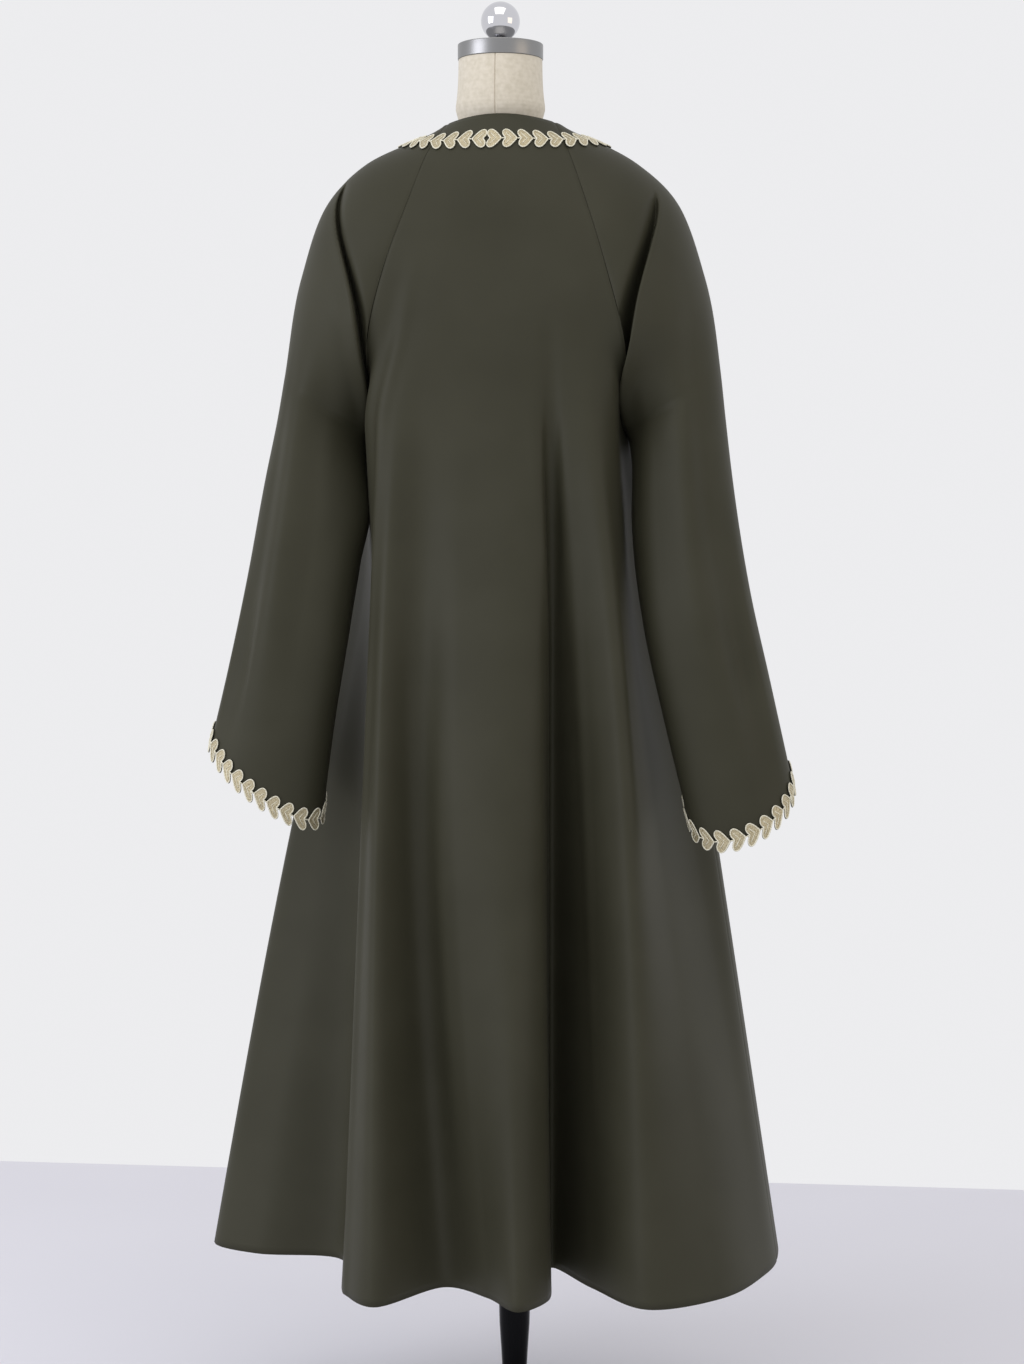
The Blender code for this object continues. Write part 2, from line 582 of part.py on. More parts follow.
def slab_mesh(name, points, faces, mapping):
    """A raised closed slab: flat faces laid on the cloth's outer face by mapping."""
    made = bmesh.new()
    under = []
    top = []
    for along, drop in points:
        spot, normal = mapping(along, drop)
        under.append(made.verts.new(spot + normal * TRIM_GAP))
        top.append(made.verts.new(spot + normal * (TRIM_GAP + TRIM_THICKNESS)))
    edges = set()
    flat = []
    for face in faces:
        flat.append(made.faces.new([top[i] for i in face]))
        flat.append(made.faces.new([under[i] for i in reversed(face)]))
        edges.update(zip(face, face[1:] + face[:1]))
    for i, j in edges:
        if (j, i) not in edges:
            made.faces.new([top[j], top[i], under[i], under[j]])
    made.normal_update()
    bmesh.ops.triangulate(made, faces=flat, ngon_method="EAR_CLIP")
    bmesh.ops.recalc_face_normals(made, faces=made.faces[:])
    mesh = bpy.data.meshes.new(name)
    made.to_mesh(mesh)
    made.free()
    return mesh


def build_neck_trim(finish, parent):
    """Hearts along the neckline: two meet at the centre of the back, tips pointing away."""
    downs = np.linspace(0.0, 0.080, 11)
    grid = neck_ring(downs)
    centre = SLEEVE_COLUMNS + sum(FRONT_COLUMNS) + NECK_SAMPLES
    mapping, length = chain_map(grid, centre, NECK_TRIM_DROP, 1)
    count = int((length / 2 - CENTRE_SPLIT) // HEART_PITCH)
    starts = [CENTRE_SPLIT / 2 + index * HEART_PITCH for index in range(count)]
    points = []
    faces = []
    left, _ = add_hearts(points, faces, starts, 1, HEART_LENGTH)
    right, _ = add_hearts(points, faces, [-at for at in starts], -1, HEART_LENGTH)
    join_cord(faces, right, left, 1)
    place("neck_trim", slab_mesh("neck_trim", points, faces, mapping), finish, parent)


def build_cuff_trim(name, side, finish, parent):
    """Hearts round a cuff, half of each below the cuff's edge."""
    mapping, length = chain_map(cuff_ring(side), 0, CUFF_TRIM_RISE, -side, closed=True)
    count = round(length / HEART_PITCH)
    pitch = length / count
    points = []
    faces = []
    starts = [index * pitch for index in range(count)]
    first, last = add_hearts(points, faces, starts, 1, pitch * HEART_LENGTH / HEART_PITCH)
    join_cord(faces, last, first, 1)
    place(name, slab_mesh(name, points, faces, mapping), finish, parent)


def ring_stack(name, rings, finish, parent=None):
    """A closed solid through horizontal rings of points, capped flat at both ends."""
    made = bmesh.new()
    loops = [[made.verts.new(point) for point in ring] for ring in rings]
    for lower, upper in zip(loops, loops[1:]):
        for k in range(len(lower)):
            j = (k + 1) % len(lower)
            made.faces.new([lower[k], lower[j], upper[j], upper[k]])
    caps = [made.faces.new(loops[0][::-1]), made.faces.new(loops[-1])]
    mesh = bpy.data.meshes.new(name)
    made.to_mesh(mesh)
    made.free()
    solid = place(name, mesh, finish, parent)
    for face in solid.data.polygons[-len(caps):]:
        face.use_smooth = False
    return solid


def build_form(finish, parent):
    """The limbless torso and neck of the dress form, one solid from hip to neck."""
    heights = [ring.z for ring in FORM_RINGS]
    sizes = [(ring.half_width, ring.back, ring.front) for ring in FORM_RINGS]
    levels = []
    for lower, upper in zip(heights, heights[1:]):
        steps = max(1, round((upper - lower) / 0.050))
        levels.extend(lower + (upper - lower) * k / steps for k in range(steps))
    levels.append(heights[-1])
    rings = []
    for z, (half_width, back, front) in zip(levels, through(sizes, heights, levels)):
        turns = [2 * math.pi * k / FORM_SEGMENTS for k in range(FORM_SEGMENTS)]
        reach = [back if math.sin(turn) > 0 else front for turn in turns]
        rings.append([(half_width * math.cos(turn), depth * math.sin(turn), z)
                      for turn, depth in zip(turns, reach)])
    ring_stack("form_torso", rings, finish, parent)


def lathe(name, profile, segments, finish, parent=None):
    """A turned solid through (radius, height) rings."""
    turns = [2 * math.pi * k / segments for k in range(segments)]
    rings = [[(radius * math.cos(turn), radius * math.sin(turn), z) for turn in turns]
             for radius, z in profile]
    return ring_stack(name, rings, finish, parent)


def build_stand(parent):
    """Neck cap and ball on top; column and base below."""
    steel = material("brushed_steel", (0.45, 0.45, 0.46), 0.35, 1.0)
    chrome = material("chrome", (0.80, 0.80, 0.82), 0.06, 1.0)
    lacquer = material("black_lacquer", (0.008, 0.008, 0.009), 0.18)
    low = NECK_TOP_Z + SEAT_GAP
    top = low + CAP_HEIGHT
    edge = 0.0012
    cap = [(CAP_RADIUS - edge, low), (CAP_RADIUS, low + edge), (CAP_RADIUS, top - edge),
           (CAP_RADIUS - edge, top)]
    lathe("neck_cap", cap, 40, steel, parent)
    drop = math.sqrt(BALL_RADIUS**2 - BALL_STEM_RADIUS**2)
    seat = top + SEAT_GAP
    centre = seat + BALL_STEM_HEIGHT + drop
    first = -math.asin(drop / BALL_RADIUS)
    last = math.radians(86)
    tilts = [first + (last - first) * k / 11 for k in range(12)]
    ball = [(BALL_STEM_RADIUS, seat)]
    ball += [(BALL_RADIUS * math.cos(tilt), centre + BALL_RADIUS * math.sin(tilt)) for tilt in tilts]
    lathe("ball_finial", ball, 20, chrome, parent)
    seat = BASE_HEIGHT + SEAT_GAP
    column = [(0.034, seat), (0.034, seat + 0.004), (0.022, seat + 0.012), (0.0156, 0.045),
              (0.0156, 0.071), (0.0168, 0.092), (0.0190, 0.125), (0.0200, 0.165),
              (0.0200, FORM_BOTTOM_Z - SEAT_GAP)]
    lathe("column", column, 24, lacquer)
    base = [(BASE_RADIUS - 0.003, 0.0), (BASE_RADIUS, 0.003), (BASE_RADIUS, BASE_HEIGHT - 0.004),
            (BASE_RADIUS - 0.004, BASE_HEIGHT)]
    lathe("base", base, 48, lacquer)


def main():
    """Build the cloak with its trims, then the form and its stand."""
    clear_scene()
    axis = bpy.data.objects.new("garment_axis", None)
    axis.location = (GARMENT_X, 0.0, 0.0)
    bpy.context.scene.collection.objects.link(axis)
    crepe = material("olive_crepe", (0.036, 0.036, 0.026), 0.75)
    embroidery = material("ivory_embroidery", (0.55, 0.50, 0.38), 0.55)
    linen = material("cream_linen", (0.52, 0.47, 0.38), 0.85)
    build_cloak(crepe, axis)
    build_neck_trim(embroidery, axis)
    build_cuff_trim("cuff_trim_left", 1, embroidery, axis)
    build_cuff_trim("cuff_trim_right", -1, embroidery, axis)
    form_axis = bpy.data.objects.new("form_axis", None)
    form_axis.location = (FORM_X, 0.0, 0.0)
    bpy.context.scene.collection.objects.link(form_axis)
    build_form(linen, form_axis)
    build_stand(form_axis)
    bpy.context.view_layer.update()


main()
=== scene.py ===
# %% [markdown]
# # An open abaya cloak on a dress form
# A long olive cloak hangs from a limbless dress form and is seen from behind. Its heavy crepe
# falls in a few broad flutes, the raglan sleeves hang empty, and a chain of embroidered
# hearts runs round the neck and the cuffs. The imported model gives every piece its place, so
# this lesson only makes the finer cloth, trim and finishes that lie on it.

# %% Load the frame
import math
from collections import namedtuple

import bmesh
import bpy
import numpy as np
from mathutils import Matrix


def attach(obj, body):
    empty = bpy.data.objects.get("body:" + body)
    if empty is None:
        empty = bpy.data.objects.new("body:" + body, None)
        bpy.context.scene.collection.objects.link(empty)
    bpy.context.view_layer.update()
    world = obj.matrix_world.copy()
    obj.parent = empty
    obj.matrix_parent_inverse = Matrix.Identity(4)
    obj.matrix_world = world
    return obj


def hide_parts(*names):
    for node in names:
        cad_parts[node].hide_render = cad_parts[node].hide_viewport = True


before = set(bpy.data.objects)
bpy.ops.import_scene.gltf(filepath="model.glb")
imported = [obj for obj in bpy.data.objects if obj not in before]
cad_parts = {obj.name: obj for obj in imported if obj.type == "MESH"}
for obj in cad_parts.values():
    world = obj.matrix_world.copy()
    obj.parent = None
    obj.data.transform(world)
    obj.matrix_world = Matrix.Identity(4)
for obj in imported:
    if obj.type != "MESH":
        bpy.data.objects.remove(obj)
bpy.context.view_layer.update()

# %% [markdown]
# ## Colour and nodes
# Colours are read off as sRGB hex values, the way a paint chart gives them, while the
# renderer adds light in linear values. One function turns the first into the second, and
# every material below goes through it. A second small function adds one node with its
# settings and its links, so that a material reads as a list of what was done to the surface.


# %% Helpers for materials
def linear(hex_colour, alpha=1.0):
    """An sRGB hex colour as linear RGBA."""
    channels = [int(hex_colour[i:i + 2], 16) / 255 for i in (1, 3, 5)]
    return (*[c / 12.92 if c <= 0.04045 else ((c + 0.055) / 1.055) ** 2.4 for c in channels], alpha)


def add_node(tree, kind, settings=None, links=None):
    """One node; settings name its properties or sockets, links name sockets to feed."""
    node = tree.nodes.new(kind)
    for key, value in (settings or {}).items():
        if isinstance(key, str) and hasattr(node, key):
            setattr(node, key, value)
        else:
            node.inputs[key].default_value = value
    for key, source in (links or {}).items():
        tree.links.new(source, node.inputs[key])
    return node


def new_material(name, **shader_settings):
    """A material with a Principled shader; returns it, its tree and the shader."""
    made = bpy.data.materials.new(name)
    made.use_nodes = True
    tree = made.node_tree
    shader = tree.nodes["Principled BSDF"]
    for key, value in shader_settings.items():
        shader.inputs[key.replace("_", " ")].default_value = value
    return made, tree, shader


print("sRGB middle grey is", round(linear("#808080")[0], 3), "in linear light")

# %% [markdown]
# ## The crepe
# The cloak is sewn from a smooth polyester crepe of about 220 g a square metre. Its yarns are
# highly twisted, so the face is matt with a low, broad sheen that shows where a flute turns
# away. The pebble of a real crepe is near half a millimetre, which is finer than a pixel of
# the picture, so it is drawn at 1.6 mm. A slower mottle stands for the slight change of
# shade along a bolt of dyed cloth.

# %% Crepe material
CREPE_PEBBLE_MM = 1.6
DYE_MOTTLE_MM = 90.0


def per_metre(size_mm):
    """The scale that gives a noise texture features of that size, in object metres."""
    return 1000.0 / size_mm


def two_shades(tree, shader, scale, detail, dark, light, low=0.0, high=1.0):
    """A base colour that drifts between two shades; returns the place and the noise nodes."""
    spot = add_node(tree, "ShaderNodeTexCoord")
    noise = add_node(tree, "ShaderNodeTexNoise", {"Scale": scale, "Detail": detail},
                     {"Vector": spot.outputs["Object"]})
    ramp = add_node(tree, "ShaderNodeValToRGB", None, {"Fac": noise.outputs["Fac"]})
    for stop, place, colour in zip(ramp.color_ramp.elements, (low, high), (dark, light)):
        stop.position = place
        stop.color = linear(colour)
    tree.links.new(ramp.outputs["Color"], shader.inputs["Base Color"])
    return spot, noise


crepe, tree, shader = new_material("olive_polyester_crepe", Roughness=0.56, IOR=1.46,
                                   Sheen_Weight=0.02, Sheen_Roughness=0.40,
                                   Specular_IOR_Level=0.20)
shader.inputs["Sheen Tint"].default_value = linear("#d9d6c4")
spot, _ = two_shades(tree, shader, per_metre(DYE_MOTTLE_MM), 2.0, "#343327", "#38372b", 0.30, 0.70)
pebble = add_node(tree, "ShaderNodeTexNoise", {"Scale": per_metre(CREPE_PEBBLE_MM), "Detail": 3.0},
                  {"Vector": spot.outputs["Object"]})
relief = add_node(tree, "ShaderNodeBump", {"Strength": 0.10, "Distance": 0.0004},
                  {"Height": pebble.outputs["Fac"]})
tree.links.new(relief.outputs["Normal"], shader.inputs["Normal"])
print("crepe pebble", CREPE_PEBBLE_MM, "mm")

# %% [markdown]
# ## Where the cloth runs
# A maker describes a draped panel by a few fold lines and by where each one lies at the
# neck, the shoulder, the waist, the hip and the hem. The same can be done here: a table
# has a row for each fold and a column for each level, and a smooth curve runs through them,
# first down each fold and then across from fold to fold. A simulation could drape the cloth
# too, but it would not put each flute where this cloak has it.

# %% Smooth curves through named points
def through(points, knots, at, turn=None):
    """The smooth curve through points that stand at knots, evaluated at the values in at.

    At the point numbered turn the curve's direction follows the points after it only, so
    that lines which meet there run on as one.
    """
    points = np.asarray(points, float)
    knots = np.asarray(knots, float)
    at = np.clip(np.asarray(at, float), knots[0], knots[-1])
    shape = (-1,) + (1,) * (points.ndim - 1)
    steps = np.diff(knots).reshape(shape)
    slopes = np.diff(points, axis=0) / steps
    tangents = np.empty_like(points)
    tangents[1:-1] = (steps[1:] * slopes[:-1] + steps[:-1] * slopes[1:]) / (steps[1:] + steps[:-1])
    tangents[0] = 1.5 * slopes[0] - 0.5 * tangents[1]
    tangents[-1] = 1.5 * slopes[-1] - 0.5 * tangents[-2]
    if turn is not None:
        tangents[turn] = 1.5 * slopes[turn] - 0.5 * tangents[turn + 1]
    span = np.clip(np.searchsorted(knots, at, side="right") - 1, 0, len(knots) - 2)
    width = np.diff(knots)[span]
    s = ((at - knots[span]) / width).reshape(shape)
    width = width.reshape(shape)
    start = (2 * s**3 - 3 * s**2 + 1) * points[span] + (s**3 - 2 * s**2 + s) * width * tangents[span]
    end = (3 * s**2 - 2 * s**3) * points[span + 1] + (s**3 - s**2) * width * tangents[span + 1]
    return start + end


print("a curve through 0, 1 and 4 passes", through([0, 1, 4], [0, 1, 2], [0.5, 1.5]))

# %% Stations of the yoke and fold lines of the skirt
GARMENT_X = 0.012
CHEST_Z = 1.240
WAIST_Z = 1.080
HIP_Z = 0.800
HEM_Z = 0.222

Yoke = namedtuple("Yoke", "name down back seam_left seam_right front_seam front_edge bow")
YOKE = [
    Yoke("neckline", 0.000, (0.066, 1.622), (0.066, 0.040, 1.614), (-0.066, 0.040, 1.614),
         (0.068, -0.034, 1.598), (0.014, -0.073, 1.574), 2.0),
    Yoke("collar", 0.055, (0.098, 1.572), (0.084, 0.078, 1.577), (-0.086, 0.078, 1.575),
         (0.089, -0.066, 1.563), (0.016, -0.102, 1.530), 2.0),
    Yoke("shoulder", 0.120, (0.119, 1.512), (0.107, 0.110, 1.506), (-0.114, 0.111, 1.500),
         (0.116, -0.096, 1.493), (0.017, -0.121, 1.462), 2.2),
    Yoke("blade", 0.190, (0.127, 1.443), (0.131, 0.119, 1.437), (-0.136, 0.120, 1.428),
         (0.138, -0.103, 1.424), (0.018, -0.128, 1.392), 2.6),
    Yoke("seam foot", 0.275, (0.129, 1.358), (0.154, 0.106, 1.350), (-0.157, 0.106, 1.340),
         (0.153, -0.080, 1.335), (0.018, -0.130, 1.318), 3.4),
]

Fold = namedtuple("Fold", "name across chest waist hip hem")
BACK_FOLDS = [
    Fold("left side seam", 1.00, (0.165, -0.010), (0.206, -0.066), (0.268, -0.045), (0.366, 0.030)),
    Fold("left panel", 0.93, (0.165, 0.040), (0.174, 0.000), (0.222, 0.000), (0.302, 0.074)),
    Fold("left valley", 0.86, (0.161, 0.080), (0.160, 0.050), (0.172, 0.040), (0.197, 0.084)),
    Fold("left flute wall", 0.76, (0.141, 0.112), (0.144, 0.118), (0.150, 0.145), (0.163, 0.234)),
    Fold("left flute crest", 0.64, (0.120, 0.124), (0.126, 0.143), (0.129, 0.186), (0.118, 0.290)),
    Fold("centre valley", 0.45, (0.085, 0.124), (0.089, 0.134), (0.088, 0.152), (0.046, 0.196)),
    Fold("centre rise", 0.20, (0.034, 0.128), (0.035, 0.146), (0.034, 0.184), (-0.008, 0.236)),
    Fold("centre crest", -0.12, (-0.022, 0.129), (-0.028, 0.150), (-0.034, 0.192), (-0.050, 0.290)),
    Fold("centre flute wall", -0.36, (-0.058, 0.124), (-0.060, 0.138), (-0.063, 0.165), (-0.080, 0.240)),
    Fold("deep valley", -0.44, (-0.070, 0.117), (-0.070, 0.104), (-0.067, 0.080), (-0.069, 0.096)),
    Fold("right rise", -0.54, (-0.085, 0.119), (-0.092, 0.118), (-0.106, 0.116), (-0.126, 0.180)),
    Fold("right flute crest", -0.74, (-0.122, 0.119), (-0.139, 0.136), (-0.164, 0.166), (-0.198, 0.262)),
    Fold("right flute wall", -0.86, (-0.144, 0.085), (-0.155, 0.076), (-0.192, 0.082), (-0.282, 0.204)),
    Fold("right panel", -0.94, (-0.146, 0.038), (-0.162, -0.004), (-0.220, -0.006), (-0.327, 0.100)),
    Fold("right side seam", -1.00, (-0.150, -0.010), (-0.204, -0.066), (-0.248, -0.045), (-0.341, 0.026)),
]
FRONT_FOLDS = [
    Fold("open edge", 0.00, (0.018, -0.131), (0.020, -0.143), (0.024, -0.166), (0.032, -0.214)),
    Fold("inner crest", 0.30, (0.055, -0.132), (0.062, -0.153), (0.074, -0.190), (0.094, -0.252)),
    Fold("front valley", 0.52, (0.089, -0.120), (0.099, -0.126), (0.124, -0.133), (0.158, -0.166)),
    Fold("outer crest", 0.75, (0.124, -0.096), (0.144, -0.120), (0.188, -0.154), (0.244, -0.214)),
    Fold("side turn", 0.90, (0.145, -0.058), (0.196, -0.108), (0.240, -0.114), (0.326, -0.118)),
]
RIGHT_FRONT_SHIFT = {"inner crest": 0.006, "front valley": 0.010, "outer crest": 0.008}

KNOTS = [station.down for station in YOKE]
KNOTS.append(KNOTS[-1] + 0.120)
for upper, lower in ((CHEST_Z, WAIST_Z), (WAIST_Z, HIP_Z), (HIP_Z, HEM_Z)):
    KNOTS.append(KNOTS[-1] + upper - lower)
UNDERARM = len(YOKE)
UNDERARM_DOWN = KNOTS[UNDERARM]
HEM_DOWN = KNOTS[-1]
print("back length from the neckline", round(HEM_DOWN, 3), "m")


# %% [markdown]
# ## From fold lines to a fine grid
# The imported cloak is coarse, because it is there for its size and its collision. For the
# picture each panel is a grid of small quads, a few millimetres wide at the seams, so that
# a sharp crease can be drawn in it. The points beside each side seam take the neighbouring
# panel's fold into the curve, and the cloth then runs round the seam without a kink.

# %% Panel grids
PANEL_STEPS = 6
SEAM_SHARES = [0.006, 0.018, 0.040]
YOKE_ROWS = 64
SKIRT_ROWS = 104
BACK_COLUMNS = [2, 2, 2, 3, 3, 3, 3, 3, 2, 2, 3, 3, 2, 2]
FRONT_COLUMNS = [3, 3, 3, 3, 3]
FRONT_BOW = 1.6
NORMAL_STEP = 1e-3


def yoke_section(station, shares, side):
    """Points of one yoke station of the back (side None) or of a front (side 1 or -1)."""
    shares = np.asarray(shares, float)[:, None]
    if side is None:
        seam = np.where(shares > 0, station.seam_left, station.seam_right)
        centre = np.array([0.0, *station.back])
        reach = np.abs(shares)
        bend = np.hstack([reach, reach**station.bow, reach**2])
        return centre + (seam - centre) * bend
    edge = np.array(station.front_edge) * (side, 1, 1)
    seam = np.array(station.front_seam) * (side, 1, 1)
    bend = np.hstack([shares, shares**station.bow, shares**FRONT_BOW])
    return edge + (seam - edge) * bend


def fold_points(side=None):
    """Every fold line of the back (side None) or of a front, at every station."""
    folds = BACK_FOLDS if side is None else FRONT_FOLDS + [BACK_FOLDS[0 if side > 0 else -1]]
    shares = [fold.across if side is None else abs(fold.across) for fold in folds]
    rows = [yoke_section(station, shares, side) for station in YOKE]
    for z, level in ((CHEST_Z, "chest"), (WAIST_Z, "waist"), (HIP_Z, "hip"), (HEM_Z, "hem")):
        row = []
        for fold in folds:
            x, y = getattr(fold, level)
            if side == -1 and fold in FRONT_FOLDS:
                x = -x
                y -= RIGHT_FRONT_SHIFT.get(fold.name, 0.0) * (CHEST_Z - z)
            row.append((x, y, z))
        rows.append(np.array(row))
    return np.array(rows)


def span_shares(columns):
    """Where the columns lie between neighbouring folds, closer together beside a seam."""
    counts = [steps * PANEL_STEPS for steps in columns]
    spans = [[(k + 1) / count for k in range(count)] for count in counts]
    spans[0] = sorted(spans[0] + SEAM_SHARES)
    spans[-1] = sorted(spans[-1] + [1 - share for share in SEAM_SHARES])
    return spans


def panel_grid(lines, downs, spans, before=None, after=None, out=1):
    """Outer-face points and unit normals of one panel."""
    groups = [group for group in (before, lines, after) if group is not None]
    rows = through(np.concatenate(groups, axis=1), KNOTS, downs, UNDERARM)
    first = 0 if before is None else 1
    count = lines.shape[1]
    grid = []
    across = []
    for row, down in zip(rows, downs):
        low = down >= UNDERARM_DOWN
        lead = first if low else 0
        points = row if low else row[first:first + count]
        chords = np.linalg.norm(np.diff(points, axis=0), axis=1) ** 0.5
        knots = np.concatenate([[0.0], np.cumsum(chords)])
        at = [knots[lead]]
        for index, shares in enumerate(spans, lead):
            at.extend(knots[index] + chords[index] * share for share in shares)
        at = np.array(at)
        step = NORMAL_STEP * knots[-1]
        grid.append(through(points, knots, at))
        across.append(through(points, knots, at + step) - through(points, knots, at - step))
    grid = np.array(grid)
    normals = np.cross(np.gradient(grid, downs, axis=0), np.array(across)) * out
    return grid, normals / np.linalg.norm(normals, axis=2, keepdims=True)


def body_grids(downs):
    """Points and normals of the back and the two fronts."""
    back = fold_points()
    fronts = {side: fold_points(side) for side in (1, -1)}
    grids = {"back": panel_grid(back, downs, span_shares(BACK_COLUMNS),
                                fronts[1][:, -2:-1], fronts[-1][:, -2:-1])}
    for side, beside in ((1, back[:, 1:2]), (-1, back[:, -2:-1])):
        grids[side] = panel_grid(fronts[side], downs, span_shares(FRONT_COLUMNS),
                                 after=beside, out=side)
    return grids


yoke_part = np.linspace(0.0, UNDERARM_DOWN, YOKE_ROWS + 1)
skirt_part = np.linspace(UNDERARM_DOWN, HEM_DOWN, SKIRT_ROWS + 1)
downs = np.concatenate([yoke_part, skirt_part[1:]])
print("rows down a panel", len(downs))


# %% [markdown]
# ## Creases listed one by one
# Between the main folds, heavy crepe has a few long, soft creases: a crisp ridge where a
# flute starts under the shoulder blade, and shallow troughs that fan out towards the hem.
# Each is a row of a table: the fold line it follows, how far beside it, how wide and how
# high it is, and between which distances below the neckline it runs. They are laid on the
# grid along its normals, so the cloth only bends and never tears.

# %% Creases and seams on a panel
Crease = namedtuple("Crease", "name fold beside_top beside_foot width top foot height")
BACK_CREASES = [
    Crease("blade ridge", "left flute wall", 0.006, 0.004, 0.010, 0.180, 1.500, 0.0060),
    Crease("blade hollow", "left flute wall", -0.012, -0.014, 0.011, 0.200, 1.150, -0.0045),
    Crease("shallow trough", "centre valley", 0.004, 0.006, 0.026, 0.420, 1.320, -0.0060),
    Crease("trough edge", "centre valley", 0.030, 0.036, 0.014, 0.700, 1.320, 0.0022),
    Crease("valley lip", "deep valley", -0.024, -0.040, 0.009, 0.330, 1.350, 0.0030),
    Crease("valley start", "deep valley", 0.000, 0.000, 0.012, 0.240, 0.640, -0.0050),
    Crease("right ridge", "right flute crest", 0.000, 0.012, 0.016, 0.420, 0.900, 0.0030),
    Crease("right rise edge", "right rise", 0.004, 0.010, 0.009, 0.360, 1.250, 0.0025),
]
SEAM_DIP = 0.0007
SEAM_REACH = 0.0028
FADE_POWER = 0.8


def arc_lengths(grid):
    """Distance of every point along its own row."""
    steps = np.linalg.norm(np.diff(grid, axis=1), axis=2)
    return np.concatenate([np.zeros((len(grid), 1)), np.cumsum(steps, axis=1)], axis=1)


def fold_columns(spans):
    """The grid column on which each fold line lies."""
    return np.cumsum([0] + [len(shares) for shares in spans])


def swell(along):
    """0 up to the start of a crease, 1 halfway down it and 0 again from its end."""
    along = np.clip(along, 0, 1)
    return np.sin(math.pi * along) ** FADE_POWER * ((along > 0) & (along < 1))


def add_creases(grid, normals, downs, spans, folds, creases):
    """Raise or sink the cloth along each crease of the table."""
    arcs = arc_lengths(grid)
    columns = dict(zip([fold.name for fold in folds], fold_columns(spans)))
    shift = np.zeros(arcs.shape)
    for crease in creases:
        along = np.clip((downs - crease.top) / (crease.foot - crease.top), 0, 1)
        beside = crease.beside_top + (crease.beside_foot - crease.beside_top) * along
        centre = arcs[:, columns[crease.fold]] + beside
        gap = (arcs - centre[:, None]) / crease.width
        shift += crease.height * swell(along)[:, None] * np.exp(-gap**2)
    return grid + normals * shift[:, :, None]


def seam_dip(grid, normals, edges=(0, -1)):
    """Sink the cloth a little beside a sewn edge, as the stitches pull it in."""
    arcs = arc_lengths(grid)
    shift = np.zeros(arcs.shape)
    for edge in edges:
        gap = arcs - arcs[:, [edge]]
        shift -= SEAM_DIP * np.exp(-(gap / SEAM_REACH) ** 2)
    return grid + normals * shift[:, :, None]


print("creases on the back", [crease.name for crease in BACK_CREASES])

# %% [markdown]
# ## A wall of cloth
# Cloth seen at its edge is a wall, so each panel becomes a closed shell: an outer face, an
# inner face one cloth thickness in, and a narrow rim. At the hem the cloth is turned up
# 18 mm and felled, which makes the wall thicker there. A Solidify modifier would do it in
# one step, but here both faces share the panel's own normals, so that neighbouring panels
# meet at the same angle along a seam. The UV map is in metres of cloth.

# %% Shells
CLOTH = 0.0010
SEAM_INSET = 0.0003
HEM_DEPTH = 0.018
HEM_STEP = 0.0015
HEM_EXTRA = 0.8


def inset_ends(grid, amount=SEAM_INSET):
    """Draw the first and last column in along each row, which leaves the seam's gap."""
    grid = grid.copy()
    for end, inner in ((0, 1), (-1, -2)):
        step = grid[:, inner] - grid[:, end]
        length = np.linalg.norm(step, axis=1, keepdims=True)
        grid[:, end] += step / length * amount
    return grid


def show(name, mesh, x=GARMENT_X):
    """A mesh put into the scene, x to the side of the column."""
    piece = bpy.data.objects.new(name, mesh)
    piece.location = (x, 0.0, 0.0)
    bpy.context.scene.collection.objects.link(piece)
    return piece


def shell(name, outer, thickness, normals, downs, finish, closed_from=None, flip=False):
    """A closed wall of cloth between an outer grid and one that lies thickness inside it."""
    rows, columns, _ = outer.shape
    inner = outer - normals * thickness[:, None, None]
    made = bmesh.new()
    arcs = arc_lengths(outer)
    skins = []
    for grid in (outer, inner):
        skin = []
        for r in range(rows):
            ring = closed_from is not None and r >= closed_from
            line = [made.verts.new(point) for point in grid[r][:columns - ring]]
            skin.append(line + line[:1] if ring else line)
        skins.append(skin)
    uv_layer = made.loops.layers.uv.new("cloth_metres")

    def quad(*places):
        corners = []
        for skin, r, c in places:
            vertex = skins[skin][r][c]
            if vertex not in [corner[0] for corner in corners]:
                corners.append((vertex, (arcs[r, c], -downs[r])))
        if flip:
            corners.reverse()
        if len(corners) > 2:
            face = made.faces.new([corner[0] for corner in corners])
            face.smooth = True
            for loop, (_, uv) in zip(face.loops, corners):
                loop[uv_layer].uv = uv

    for r in range(rows - 1):
        for c in range(columns - 1):
            quad((0, r, c), (0, r + 1, c), (0, r + 1, c + 1), (0, r, c + 1))
            quad((1, r, c), (1, r, c + 1), (1, r + 1, c + 1), (1, r + 1, c))
    for c in range(columns - 1):
        quad((0, 0, c), (0, 0, c + 1), (1, 0, c + 1), (1, 0, c))
        quad((0, rows - 1, c), (1, rows - 1, c), (1, rows - 1, c + 1), (0, rows - 1, c + 1))
    last = columns - 1
    for r in range(rows - 1 if closed_from is None else closed_from):
        quad((0, r, 0), (1, r, 0), (1, r + 1, 0), (0, r + 1, 0))
        quad((0, r, last), (0, r + 1, last), (1, r + 1, last), (1, r, last))
    mesh = bpy.data.meshes.new(name)
    made.to_mesh(mesh)
    made.free()
    mesh.materials.append(finish)
    widest = round(float(arcs[:, -1].max()), 3)
    print(name, "triangles", 2 * len(mesh.polygons), "widest", widest, "m")
    return show(name, mesh)


def hem_thickness(downs, hem):
    """Wall thickness of each row: double over the turned hem."""
    turned_up = np.clip((downs - (hem - HEM_DEPTH)) / HEM_STEP, 0, 1)
    return CLOTH * (1 + HEM_EXTRA * turned_up)


def hem_rows(downs, hem):
    """The rows with three more at the top of the turned hem, where the wall thickens."""
    extra = [hem - HEM_DEPTH, hem - HEM_DEPTH + HEM_STEP, hem - HEM_DEPTH / 2]
    return np.unique(np.concatenate([downs, extra]))


